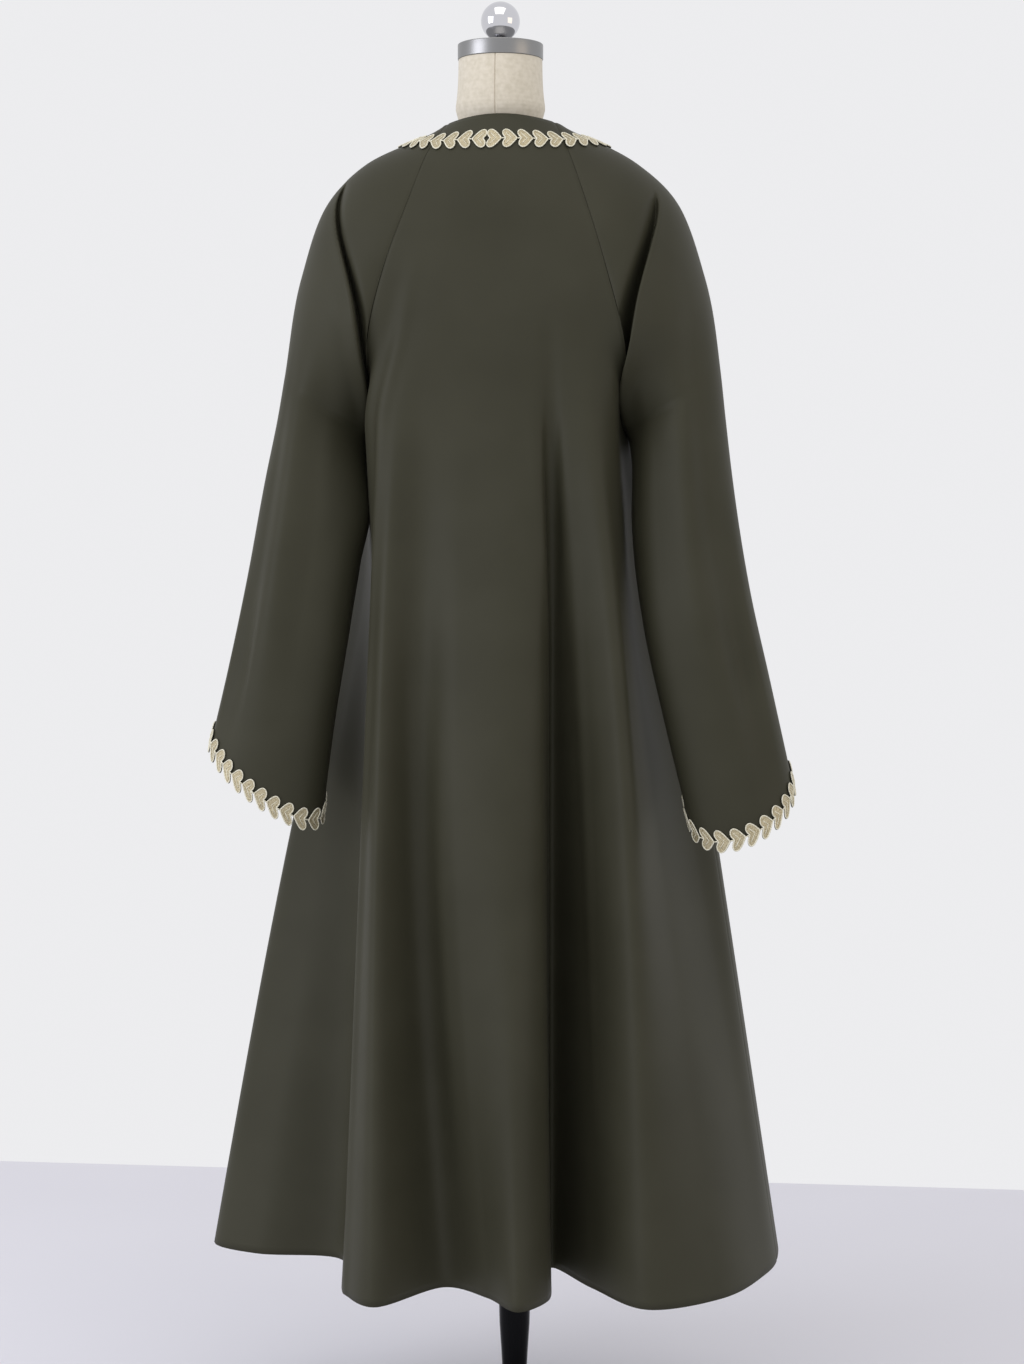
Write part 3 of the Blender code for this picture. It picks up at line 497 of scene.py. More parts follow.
# %% [markdown]
# ## The raglan sleeves
# A raglan sleeve is one piece of cloth that runs from the neck over the shoulder, and below
# the underarm it is sewn into a wide tube. Its table has a row for each station: the top six
# start and end on the two raglan seams, and the others are closed rings. At each one the
# cloth leaves the back seam in one direction, passes over the crest in a second and
# arrives at the front seam in a third, which is enough to draw the whole section.

# %% Sleeve tables
Sleeve = namedtuple("Sleeve", "name down inner crest leave over arrive")
SLEEVE_LEFT = [
    Sleeve("neckline", 0.000, None, (0.080, 0.000, 1.607), (0.026, -0.028, -0.004),
           (0.000, -0.040, -0.004), (-0.020, -0.034, -0.010)),
    Sleeve("collar", 0.055, None, (0.116, 0.000, 1.596), (0.060, -0.045, 0.026),
           (0.000, -0.100, 0.000), (-0.050, -0.060, -0.045)),
    Sleeve("shoulder", 0.120, None, (0.172, 0.002, 1.570), (0.098, -0.030, 0.080),
           (0.000, -0.170, 0.000), (-0.090, 0.020, -0.095)),
    Sleeve("blade", 0.190, None, (0.220, 0.004, 1.522), (0.110, 0.010, 0.080),
           (0.010, -0.210, 0.000), (-0.110, 0.050, -0.110)),
    Sleeve("seam foot", 0.275, None, (0.252, 0.008, 1.432), (0.060, 0.110, 0.030),
           (0.010, -0.250, 0.000), (-0.080, 0.120, -0.090)),
    Sleeve("underarm", 0.395, None, (0.272, 0.014, 1.310), (0.010, 0.300, 0.000),
           (0.000, -0.280, 0.010), (0.000, 0.210, -0.030)),
    Sleeve("gusset", 0.440, (0.175, 0.024, 1.202), (0.279, 0.022, 1.262), (0.000, 0.270, -0.010),
           (0.000, -0.265, 0.015), (0.000, 0.210, -0.030)),
    Sleeve("upper arm", 0.510, (0.169, 0.048, 1.130), (0.291, 0.040, 1.190), (0.000, 0.230, -0.030),
           (0.000, -0.250, 0.030), (0.000, 0.220, -0.030)),
    Sleeve("elbow", 0.640, (0.180, 0.077, 1.010), (0.310, 0.066, 1.065), (0.000, 0.200, -0.060),
           (0.000, -0.230, 0.060), (0.000, 0.200, -0.060)),
    Sleeve("forearm", 0.760, (0.199, 0.082, 0.890), (0.331, 0.074, 0.962), (0.000, 0.190, -0.090),
           (0.000, -0.220, 0.090), (0.000, 0.190, -0.090)),
    Sleeve("cuff", 0.880, (0.214, 0.084, 0.776), (0.353, 0.078, 0.868), (0.000, 0.180, -0.110),
           (0.000, -0.200, 0.100), (0.000, 0.180, -0.110)),
]
SLEEVE_RIGHT = [
    Sleeve("neckline", 0.000, None, (-0.080, 0.000, 1.607), (-0.026, -0.028, -0.004),
           (0.000, -0.040, -0.004), (0.020, -0.034, -0.010)),
    Sleeve("collar", 0.055, None, (-0.115, 0.000, 1.594), (-0.060, -0.045, 0.026),
           (0.000, -0.100, 0.000), (0.050, -0.060, -0.045)),
    Sleeve("shoulder", 0.120, None, (-0.165, 0.002, 1.566), (-0.096, -0.030, 0.080),
           (0.000, -0.170, 0.000), (0.090, 0.020, -0.095)),
    Sleeve("blade", 0.190, None, (-0.212, 0.004, 1.520), (-0.110, 0.010, 0.080),
           (-0.010, -0.210, 0.000), (0.110, 0.050, -0.110)),
    Sleeve("seam foot", 0.275, None, (-0.246, 0.008, 1.430), (-0.060, 0.110, 0.030),
           (-0.010, -0.250, 0.000), (0.080, 0.120, -0.090)),
    Sleeve("underarm", 0.395, None, (-0.267, 0.014, 1.310), (-0.010, 0.300, 0.000),
           (0.000, -0.280, 0.010), (0.000, 0.210, -0.030)),
    Sleeve("gusset", 0.440, (-0.159, 0.022, 1.204), (-0.273, 0.022, 1.258), (0.000, 0.270, -0.010),
           (0.000, -0.265, 0.015), (0.000, 0.210, -0.030)),
    Sleeve("upper arm", 0.510, (-0.161, 0.046, 1.130), (-0.283, 0.040, 1.180), (0.000, 0.230, -0.030),
           (0.000, -0.250, 0.030), (0.000, 0.220, -0.030)),
    Sleeve("elbow", 0.640, (-0.177, 0.076, 1.010), (-0.305, 0.066, 1.048), (0.000, 0.200, -0.080),
           (0.000, -0.230, 0.080), (0.000, 0.200, -0.080)),
    Sleeve("forearm", 0.760, (-0.203, 0.082, 0.896), (-0.331, 0.074, 0.932), (0.000, 0.190, -0.130),
           (0.000, -0.220, 0.130), (0.000, 0.190, -0.130)),
    Sleeve("cuff", 0.880, (-0.231, 0.084, 0.790), (-0.357, 0.078, 0.815), (0.000, 0.180, -0.230),
           (0.000, -0.200, 0.170), (0.000, 0.180, -0.170)),
]

SleeveCrease = namedtuple("SleeveCrease", "name around spread down reach push")
CREASES_LEFT = [
    SleeveCrease("underarm tuck", 0.030, 0.130, 0.480, 0.095, (-0.011, 0.000, 0.000)),
    SleeveCrease("rear ridge", 0.300, 0.090, 0.560, 0.300, (0.006, 0.010, 0.000)),
    SleeveCrease("forearm trough", 0.400, 0.070, 0.740, 0.180, (-0.006, -0.008, 0.000)),
    SleeveCrease("front trough", 0.720, 0.080, 0.600, 0.260, (-0.006, 0.012, 0.000)),
]
CREASES_RIGHT = [
    SleeveCrease("rear ridge", 0.260, 0.090, 0.520, 0.300, (-0.006, 0.012, 0.000)),
    SleeveCrease("forearm trough", 0.380, 0.070, 0.700, 0.200, (0.006, -0.008, 0.000)),
    SleeveCrease("front trough", 0.720, 0.080, 0.620, 0.260, (0.006, 0.012, 0.000)),
]
# A fold starts beside the raglan seam and runs down into the underarm: its line as
# (down, around) points, then the reach inside and outside the line, the depth of the valley
# and how far the cloth outside it overhangs.
SleeveFold = namedtuple("SleeveFold", "line inside outside depth lip lip_gap lip_width")
FOLD_LEFT = SleeveFold(
    [(0.150, 0.400), (0.175, 0.360), (0.200, 0.280), (0.220, 0.205), (0.245, 0.135),
     (0.280, 0.085), (0.320, 0.060), (0.410, 0.030)],
    0.052, 0.020, (0.000, -0.038, -0.004), (-0.011, 0.012, 0.000), 0.034, 0.028)
FOLD_RIGHT = SleeveFold(
    [(0.165, 0.342), (0.180, 0.320), (0.195, 0.281), (0.213, 0.219), (0.238, 0.147),
     (0.270, 0.092), (0.310, 0.052), (0.410, 0.022)],
    0.090, 0.020, (0.008, -0.046, -0.004), (0.011, 0.013, 0.000), 0.040, 0.032)
SLEEVES = {1: (SLEEVE_LEFT, CREASES_LEFT, FOLD_LEFT), -1: (SLEEVE_RIGHT, CREASES_RIGHT, FOLD_RIGHT)}
CUFF_DOWN = SLEEVE_LEFT[-1].down
UNDERARM_INSET = 0.0006
SEWN_REACH = 0.012
print("sleeve from neck to cuff", CUFF_DOWN, "m down its table")


# %% Sleeve grids
def bump(value, centre, reach):
    """A smooth rise from 0 to 1 and back within reach of centre."""
    gap = np.clip(np.abs(value - centre) / reach, 0.0, 1.0)
    return 0.5 + 0.5 * np.cos(math.pi * gap)


def raglan_seam(side, downs, front):
    """The outermost line of the back, or of a front, on that side."""
    lines = fold_points(side) if front else fold_points()
    column = -1 if front or side < 0 else 0
    return through(lines[:, column], KNOTS, downs, UNDERARM)


def fold_shift(fold, downs, around):
    """How far a fold moves each point of a sleeve: a valley with a lip beside it."""
    places, turns = np.array(fold.line).T
    line = through(turns, places, downs)
    fade = swell((downs - places[0]) / (places[-1] - places[0]))[:, None]
    gap = around[None, :] - line[:, None]
    sewn = 1 - np.exp(-(around / SEWN_REACH) ** 2)[None, :]
    reach = np.where(gap < 0, fold.inside, fold.outside)
    valley = np.exp(-(gap / reach) ** 2) * fade * sewn
    lip = np.exp(-((gap - fold.lip_gap) / fold.lip_width) ** 2) * fade * sewn
    return valley[:, :, None] * np.array(fold.depth) + lip[:, :, None] * np.array(fold.lip)


def sleeve_grid(side, downs, around):
    """Outer face of a sleeve: back seam, over the crest, to the front seam."""
    table, creases, fold = SLEEVES[side]
    knots = [station.down for station in table]
    crest, leave, over, arrive = [through([getattr(s, key) for s in table], knots, downs)
                                  for key in ("crest", "leave", "over", "arrive")]
    start = raglan_seam(side, downs, front=False)
    end = raglan_seam(side, downs, front=True)
    closed = [s for s in table if s.inner is not None]
    underarm = raglan_seam(side, [UNDERARM_DOWN], front=False)[0]
    underarm = underarm + (side * UNDERARM_INSET, 0.0, 0.0)
    inner_knots = [UNDERARM_DOWN] + [s.down for s in closed]
    inner = through([underarm] + [s.inner for s in closed], inner_knots, downs)
    low = downs >= UNDERARM_DOWN
    start[low] = inner[low]
    end[low] = inner[low]
    grid = np.empty((len(downs), len(around), 3))
    for index, share in enumerate(around):
        first = share <= 0.5
        s = share * 2 if first else share * 2 - 1
        a, b = (start, crest) if first else (crest, end)
        ta, tb = (leave, over) if first else (over, arrive)
        grid[:, index] = ((2 * s**3 - 3 * s**2 + 1) * a + (3 * s**2 - 2 * s**3) * b
                          + (s**3 - 2 * s**2 + s) * ta + (s**3 - s**2) * tb)
    for crease in creases:
        strength = np.outer(bump(downs, crease.down, crease.reach),
                            bump(around, crease.around, crease.spread))
        grid += strength[:, :, None] * np.array(crease.push)
    return grid + fold_shift(fold, downs, around)


def sleeve_normals(grid, around, closed_from, out):
    """Unit normals of a sleeve's outer face; its rings are joined from closed_from on."""
    down = np.gradient(grid, axis=0)
    across = np.gradient(grid, around, axis=1)
    ring = grid[closed_from:]
    across[closed_from:, 0] = ring[:, 1] - ring[:, -2]
    across[closed_from:, -1] = across[closed_from:, 0]
    normals = np.cross(down, across) * out
    return normals / np.linalg.norm(normals, axis=2, keepdims=True)


SLEEVE_COLUMNS = 150
SEAM_AROUND = [0.0015, 0.004, 0.007]
SLEEVE_YOKE_ROWS = 124
SLEEVE_ARM_ROWS = 60
around = np.unique(np.round(np.concatenate([
    np.linspace(0.0, 1.0, SLEEVE_COLUMNS + 1), SEAM_AROUND, [1 - s for s in SEAM_AROUND]]), 6))
yoke_part = np.linspace(0.0, UNDERARM_DOWN, SLEEVE_YOKE_ROWS + 1)
arm_part = hem_rows(np.linspace(UNDERARM_DOWN, CUFF_DOWN, SLEEVE_ARM_ROWS + 1), CUFF_DOWN)
sleeve_downs = np.concatenate([yoke_part, arm_part[1:]])
print("sleeve grid", len(sleeve_downs), "by", len(around))

# %% [markdown]
# ## Sewing the cloak together
# The five pieces share their edges to within a millimetre, as sewn panels do: the back is
# one panel, and the fronts and the sleeves are pairs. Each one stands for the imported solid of
# the same name, and a shell on a shared grid was chosen because it keeps the seams closed.

# %% Make the five cloth pieces
body_rows = hem_rows(downs, HEM_DOWN)
grids = body_grids(body_rows)
grid, normals = grids["back"]
grid = add_creases(grid, normals, body_rows, span_shares(BACK_COLUMNS), BACK_FOLDS, BACK_CREASES)
wall = hem_thickness(body_rows, HEM_DOWN)
grid = inset_ends(seam_dip(grid, normals))
cloak = {"back": shell("cloak_back", grid, wall, normals, body_rows, crepe)}
for side, word in ((1, "left"), (-1, "right")):
    grid, normals = grids[side]
    grid = inset_ends(seam_dip(grid, normals, edges=(-1,)))
    cloak["front_" + word] = shell("cloak_front_" + word, grid, wall, normals, body_rows, crepe,
                                   flip=side < 0)
    grid = sleeve_grid(side, sleeve_downs, around)
    normals = sleeve_normals(grid, around, SLEEVE_YOKE_ROWS, -side)
    top = SLEEVE_YOKE_ROWS
    grid[:top] = inset_ends(seam_dip(grid[:top], normals[:top]))
    cloak["sleeve_" + word] = shell("cloak_sleeve_" + word, grid,
                                    hem_thickness(sleeve_downs, CUFF_DOWN), normals, sleeve_downs,
                                    crepe, closed_from=top, flip=side > 0)
for node, piece in cloak.items():
    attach(piece, "root")
    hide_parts(node)

# %% [markdown]
# ## The heart chain
# The trim is machine embroidery bought by the metre: hearts that lie on their side, each one
# outlined in a plump ivory cord and filled with rows of pale gold satin stitch, on a dark
# backing that is trimmed close to it. A short bar of cord joins each tip to the next notch.
# A texture could show this, but the cord stands up a millimetre and catches the light, and
# half of each heart hangs past the cuff, so every heart is modelled.

# %% Materials of the trim
CORD_TWIST_MM = 1.3
STITCH_MM = 0.9
FELT_FUZZ_MM = 0.8

# Rayon cord is glossy and twisted, so its light breaks into small soft specks.
ivory, tree, shader = new_material("ivory_rayon_cord", Roughness=0.50, IOR=1.48, Sheen_Weight=0.2)
_, twist = two_shades(tree, shader, per_metre(CORD_TWIST_MM), 1.0, "#c2bca2", "#ebe7d6", 0.35, 0.65)
relief = add_node(tree, "ShaderNodeBump", {"Strength": 0.5, "Distance": 0.0003},
                  {"Height": twist.outputs["Fac"]})
tree.links.new(relief.outputs["Normal"], shader.inputs["Normal"])

# Satin stitch lays shiny thread side by side: a silky gleam, half like metal.
gold, tree, shader = new_material("pale_gold_satin_stitch", Roughness=0.38, IOR=1.50, Metallic=0.25)
_, stitch = two_shades(tree, shader, per_metre(STITCH_MM), 1.0, "#87795a", "#cfc5a6", 0.32, 0.68)
relief = add_node(tree, "ShaderNodeBump", {"Strength": 0.6, "Distance": 0.0003},
                  {"Height": stitch.outputs["Fac"]})
tree.links.new(relief.outputs["Normal"], shader.inputs["Normal"])

# Felt scatters light evenly, so it reads as a flat dark edge round each heart.
backing, tree, shader = new_material("dark_backing_felt", Roughness=0.9, IOR=1.45, Sheen_Weight=0.1)
two_shades(tree, shader, per_metre(FELT_FUZZ_MM), 2.0, "#14140f", "#23231b")
print("cord twist", CORD_TWIST_MM, "mm, stitch", STITCH_MM, "mm")

# %% [markdown]
# The chain is sewn parallel to an edge: 41 mm under the neckline, and half over the cuff. So
# the cloth is measured along that line, and a map gives the point of the cloth for any
# distance along it and down from it. A curve modifier could bend a straight chain, but each
# heart would bend with it, and real embroidery is too stiff for that.

# %% The line that the chain follows
HEART_LENGTH = 0.0166
HEART_HEIGHT = 0.0270
HEART_PITCH = 0.0186
TRIM_GAP = 0.0004
NECK_TRIM_DROP = 0.041
TRIM_OFFSET = 0.011
CENTRE_SPLIT = 0.0016
CUFF_TRIM_RISE = 0.001
NECK_SAMPLES = 48
NECK_REACH = 0.080
NECK_ROWS = 21
CUFF_REACH = 0.040
CUFF_ROWS = 9
SLOPE_STEP = 0.003


def neck_ring(downs):
    """The yoke's outer face near the neckline, from the right front edge round to the left."""
    lines = through(fold_points(), KNOTS, downs, UNDERARM)
    shares = [fold.across for fold in reversed(BACK_FOLDS)]
    across = np.linspace(-1.0, 1.0, 2 * NECK_SAMPLES + 1)
    back = np.array([through(row[::-1], shares, across) for row in lines])
    fronts = body_grids(downs)
    sides = {}
    for side in (1, -1):
        arm = sleeve_grid(side, downs, around)[:, 1:]
        sides[side] = np.concatenate([arm, fronts[side][0][:, -2::-1]], axis=1)
    ring = np.concatenate([sides[-1][:, ::-1], back, sides[1]], axis=1)
    return ring, sides[-1].shape[1] + NECK_SAMPLES


def chain_map(grid, start, middle, out, closed=False):
    """A map from (along, drop, rise) in metres to a point on a grid of the outer face.

    Rows run away from the cloth's edge. Along is 0 at column start, measured on the row
    that lies `middle` away from the edge; drop is the distance from that row, and rise the
    height over the cloth.
    """
    steps = np.linalg.norm(np.diff(grid, axis=0), axis=2)
    drops = np.concatenate([np.zeros((1, grid.shape[1])), np.cumsum(steps, axis=0)])
    columns = range(grid.shape[1])

    def at_drop(column, drop):
        extra = min(drop, 0.0)
        point = [np.interp(drop, drops[:, column], grid[:, column, axis]) for axis in range(3)]
        away = (grid[1, column] - grid[0, column]) / drops[1, column]
        return np.array(point) + away * extra

    line = np.array([at_drop(column, middle) for column in columns])
    along = np.concatenate([[0.0], np.cumsum(np.linalg.norm(np.diff(line, axis=0), axis=1))])
    length = along[-1]
    along = along - np.interp(start, columns, along)

    def spot(distance, drop):
        if closed:
            distance = (distance - along[0]) % length + along[0]
        place_at = np.interp(distance, along, columns)
        column = min(int(place_at), grid.shape[1] - 2)
        share = place_at - column
        near, far = (at_drop(column + k, middle + drop) for k in (0, 1))
        return near * (1 - share) + far * share

    def frame_at(distance, drop=0.0):
        """Point, direction along, direction down and normal of the cloth there."""
        run = spot(distance + SLOPE_STEP, drop) - spot(distance - SLOPE_STEP, drop)
        fall = spot(distance, drop + SLOPE_STEP) - spot(distance, drop - SLOPE_STEP)
        normal = np.cross(run, fall) * out
        return (spot(distance, drop), *(line / np.linalg.norm(line) for line in (run, fall, normal)))

    return frame_at, length


print("a heart every", HEART_PITCH, "m,", NECK_TRIM_DROP, "m under the neckline")

# %% [markdown]
# A heart is embroidered flat and then sewn on, so it bends only as a whole: every heart
# takes the cloth's slope at its two lobes and its middle. Its outline is a closed curve
# through a dozen points, and the filling and the cord are drawn from that one curve.

# %% One heart
OUTLINE_POINTS = 44
CURVE_POINTS = 400
CORD_RADIUS = 0.00085
CORD_SIDES = 6
CROSS_STEP = 0.0005
RIB_HEIGHT = 0.0007
# Shares of the heart's length and height: the upper half of its outline, the V down its
# middle and the inner cord. Then the satin's ribs: share of the way to the V, and height.
HEART_SHAPE = [(0.20, 0.00), (0.07, 0.14), (0.00, 0.28), (0.05, 0.42), (0.20, 0.49), (0.40, 0.46),
               (0.62, 0.34), (0.83, 0.17), (1.00, 0.00)]
HEART_V = [(0.20, 0.32), (0.60, 0.0), (0.20, -0.32)]
INNER_CORD = [(0.22, 0.30), (0.42, 0.15), (0.62, 0.0), (0.42, -0.15), (0.22, -0.30)]
SATIN_RIBS = [(0.12, 0.2), (0.30, 1.0), (0.48, 0.35), (0.66, 0.9), (0.82, 0.4)]


def closed_curve(points, count):
    """Evenly spaced points on a smooth closed curve."""
    points = np.array(points, float)
    loop = np.vstack([points[-2:], points, points[:3]])
    chords = np.linalg.norm(np.diff(loop, axis=0), axis=1) ** 0.5
    knots = np.concatenate([[0.0], np.cumsum(chords)])
    fine = through(loop, knots, np.linspace(knots[2], knots[-3], CURVE_POINTS))
    lengths = np.concatenate([[0.0], np.cumsum(np.linalg.norm(np.diff(fine, axis=0), axis=1))])
    at = np.linspace(0.0, lengths[-1], count, endpoint=False)
    return np.column_stack([np.interp(at, lengths, fine[:, axis]) for axis in range(2)])


def heart_outline(length, height):
    """The outline of a heart on its side, its tip towards +along, as (along, drop)."""
    half = [(along * length, drop * height) for along, drop in HEART_SHAPE]
    return closed_curve(half + [(along, -drop) for along, drop in half[-2:0:-1]], OUTLINE_POINTS)


def heart_spine(outline, length, height):
    """For each outline point, the nearest point of the V that runs down the heart's middle."""
    corners = np.array(HEART_V) * (length, height)
    near = []
    for point in outline:
        best = None
        for a, b in zip(corners, corners[1:]):
            share = np.clip(np.dot(point - a, b - a) / np.dot(b - a, b - a), 0.0, 1.0)
            spot = a + (b - a) * share
            gap = np.linalg.norm(point - spot)
            if best is None or gap < best[0]:
                best = (gap, spot)
        near.append(best[1])
    return np.array(near)


class Chain:
    """Collects the faces of one trim, with a material number for each."""

    def __init__(self):
        self.mesh = bmesh.new()

    def ring_faces(self, a, b, material_index):
        for k in range(len(a)):
            j = (k + 1) % len(a)
            face = self.mesh.faces.new([a[k], a[j], b[j], b[k]])
            face.material_index = material_index
            face.smooth = True

    def tube(self, centres, sides, radius, material_index, closed):
        """A round cord through centres; sides gives each point's two cross directions."""
        turns = [2 * math.pi * k / CORD_SIDES for k in range(CORD_SIDES)]
        rings = []
        for centre, (across, up) in zip(centres, sides):
            points = [centre + (across * math.cos(t) + up * math.sin(t)) * radius for t in turns]
            rings.append([self.mesh.verts.new(point) for point in points])
        for a, b in zip(rings, rings[1:] + (rings[:1] if closed else [])):
            self.ring_faces(a, b, material_index)
        if not closed:
            for ring in (rings[0][::-1], rings[-1]):
                self.mesh.faces.new(ring).material_index = material_index

    def finish(self, name, materials):
        bmesh.ops.recalc_face_normals(self.mesh, faces=self.mesh.faces[:])
        mesh = bpy.data.meshes.new(name)
        self.mesh.to_mesh(mesh)
        self.mesh.free()
        for material in materials:
            mesh.materials.append(material)
        mesh.calc_loop_triangles()
        print(name, "triangles", len(mesh.loop_triangles))
        return show(name, mesh)


FELT, CORD, STITCH = 0, 1, 2
FELT_MARGIN = 0.0009
FELT_THICKNESS = 0.0008
LOBE_SHARE = 0.4
BAR_FROM = 0.98
BAR_TO = 0.24


def heart_frame(frame_at, at, tip, length):
    """A bent plane for one heart: maps (along, drop, rise) of the heart into space."""
    drops = [-LOBE_SHARE * HEART_HEIGHT, 0.0, LOBE_SHARE * HEART_HEIGHT]
    middles = [frame_at(at + tip * length * 0.5, drop) for drop in drops]

    def place(along, drop, rise):
        weights = [through(unit, drops, [drop])[0] for unit in np.eye(3)]
        point, run, _, normal = [sum(w * m[part] for w, m in zip(weights, middles))
                                 for part in range(4)]
        over = abs(drop) - drops[2]
        if over > 0:
            point = point + middles[0 if drop < 0 else 2][2] * (over * (-1 if drop < 0 else 1))
        return point + run * tip * (along - 0.5 * length) + normal * (rise + TRIM_GAP)

    return place


def sew_heart(chain, frame_at, at, tip, length):
    """One heart: felt backing, satin filling with ribs, outline cord and middle cord."""
    outline = heart_outline(length, HEART_HEIGHT)
    spine = heart_spine(outline, length, HEART_HEIGHT)
    away = outline - spine
    away /= np.linalg.norm(away, axis=1, keepdims=True)
    place = heart_frame(frame_at, at, tip, length)
    felt = outline + away * FELT_MARGIN
    under = [chain.mesh.verts.new(place(*p, 0.0)) for p in felt]
    over = [chain.mesh.verts.new(place(*p, FELT_THICKNESS)) for p in felt]
    chain.ring_faces(under, over, FELT)
    base = [chain.mesh.verts.new(place(*p, FELT_THICKNESS)) for p in outline]
    chain.ring_faces(over, base, FELT)
    chain.mesh.faces.new(under[::-1]).material_index = FELT
    before = base
    for share, height in SATIN_RIBS:
        rise = FELT_THICKNESS + RIB_HEIGHT * height
        ring = [chain.mesh.verts.new(place(*(p + (q - p) * share), rise))
                for p, q in zip(outline, spine)]
        chain.ring_faces(before, ring, STITCH)
        before = ring
    chain.mesh.faces.new(before).material_index = STITCH
    cord_line(chain, place, outline, FELT_THICKNESS + CORD_RADIUS * 0.6, CORD_RADIUS, closed=True)
    middle = np.array(INNER_CORD) * (length, HEART_HEIGHT)
    cord_line(chain, place, middle, FELT_THICKNESS + RIB_HEIGHT * 0.7, CORD_RADIUS * 0.6, closed=False)
    return place


def cord_line(chain, place, line, rise, radius, closed):
    """A cord laid along a line of the heart's plane."""
    count = len(line)
    centres = []
    sides = []
    for k in range(count):
        a = line[(k - 1) % count] if closed or k > 0 else line[k]
        b = line[(k + 1) % count] if closed or k < count - 1 else line[k]
        run = (b - a) / np.linalg.norm(b - a)
        centre = place(*line[k], rise)
        across = place(*(line[k] + np.array([-run[1], run[0]]) * CROSS_STEP), rise) - centre
        up = place(*line[k], rise + CROSS_STEP) - centre
        centres.append(centre)
        sides.append((across / np.linalg.norm(across), up / np.linalg.norm(up)))
    chain.tube(centres, sides, radius, CORD, closed)


def sew_chain(chain, frame_at, starts, tip, length):
    """Hearts in a row, each joined to the next by a short bar of cord."""
    places = [sew_heart(chain, frame_at, at, tip, length) for at in starts]
    for here, there in zip(places, places[1:]):
        bar(chain, here, there, length)
    return places


def bar(chain, here, there, length):
    """The bar from one heart's tip to the next one's notch."""
    rise = FELT_THICKNESS + CORD_RADIUS * 0.5
    ends = [here(length * BAR_FROM, 0.0, rise), there(length * BAR_TO, 0.0, rise)]
    line = ends[1] - ends[0]
    up = here(length, 0.0, rise + 0.001) - here(length, 0.0, rise)
    up /= np.linalg.norm(up)
    across = np.cross(line, up)
    across /= np.linalg.norm(across)
    chain.tube(ends, [(across, up)] * 2, CORD_RADIUS, CORD, closed=False)


# %% [markdown]
# At the neck two halves meet a little to the wearer's left of the middle, and their hearts
# point away from there. Round a cuff all the hearts point one way, and their pitch changes
# a trifle so that a whole number of them closes the ring.

# %% Sew the chain on
print("points round one heart", OUTLINE_POINTS)
ring, centre = neck_ring(np.linspace(0.0, NECK_REACH, NECK_ROWS))
frame_at, length = chain_map(ring, centre, NECK_TRIM_DROP, 1)
chain = Chain()
for side in (1, -1):
    count = int((length / 2 - side * TRIM_OFFSET - CENTRE_SPLIT) // HEART_PITCH)
    first = TRIM_OFFSET + side * CENTRE_SPLIT / 2
    starts = [first + side * index * HEART_PITCH for index in range(count)]
    sew_chain(chain, frame_at, starts, side, HEART_LENGTH)
    print("hearts on one side of the neck", count)
trims = {"neck_trim": chain.finish("heart_chain_neck", [backing, ivory, gold])}

for side, word in ((1, "left"), (-1, "right")):
    edge = sleeve_grid(side, np.linspace(CUFF_DOWN, CUFF_DOWN - CUFF_REACH, CUFF_ROWS), around)
    frame_at, length = chain_map(edge, 0, CUFF_TRIM_RISE, -side, closed=True)
    count = round(length / HEART_PITCH)
    pitch = length / count
    heart_length = pitch * HEART_LENGTH / HEART_PITCH
    chain = Chain()
    starts = [index * pitch for index in range(count)]
    places = sew_chain(chain, frame_at, starts, 1, heart_length)
    bar(chain, places[-1], places[0], heart_length)
    trims["cuff_trim_" + word] = chain.finish("heart_chain_cuff_" + word, [backing, ivory, gold])
    print("hearts round the", word, "cuff", count, "on", round(float(length), 3), "m")
for node, piece in trims.items():
    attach(piece, "root")
    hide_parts(node)

# %% [markdown]
# ## The dress form
# The form is padded and covered in cream cotton-linen, pulled tight and closed with one seam
# down the centre of the back. Only its neck shows. The cover is a stack of smooth rings, like
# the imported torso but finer, and its seam is a narrow dip with the two folded edges beside
# it. The weave has about 12 threads to the centimetre, which is finer than a pixel, so it
# is drawn as bands of about six threads.

# %% Linen cover
FORM_X = 0.0175
NECK_TOP_Z = 1.6965
FORM_BOTTOM_Z = 0.780
FORM_EASE = 0.0025
FORM_LEVELS = 150
FORM_TURNS = 96
EASE_END_Z = 1.630
EASE_RUN = 0.030
SEAM_TURNS = [-0.045, -0.030, -0.016, 0.0, 0.016, 0.030, 0.045]
GROOVE = (0.0012, 0.0, 0.010)
FOLDED_EDGE = (-0.0004, 0.030, 0.012)
THREAD_MM = 0.8
SLUB_MM = 6.0
WAVE_RADIANS = 20

Ring = namedtuple("Ring", "z half_width back front")
FORM_RINGS = [
    Ring(FORM_BOTTOM_Z, 0.060, 0.046, 0.055),
    Ring(0.792, 0.098, 0.060, 0.082),
    Ring(0.830, 0.122, 0.068, 0.096),
    Ring(0.920, 0.128, 0.074, 0.098),
    Ring(1.050, 0.112, 0.080, 0.090),
    Ring(1.160, 0.116, 0.086, 0.094),
    Ring(1.280, 0.132, 0.100, 0.108),
    Ring(1.400, 0.146, 0.108, 0.106),
    Ring(1.480, 0.170, 0.104, 0.092),
    Ring(1.522, 0.186, 0.090, 0.074),
    Ring(1.546, 0.187, 0.076, 0.062),
    Ring(1.562, 0.1723, 0.068, 0.054),
    Ring(1.578, 0.141, 0.062, 0.046),
    Ring(1.594, 0.095, 0.054, 0.036),
    Ring(1.608, 0.062, 0.050, 0.038),
    Ring(1.640, 0.055, 0.054, 0.044),
    Ring(NECK_TOP_Z, 0.0515, 0.0515, 0.0515),
]

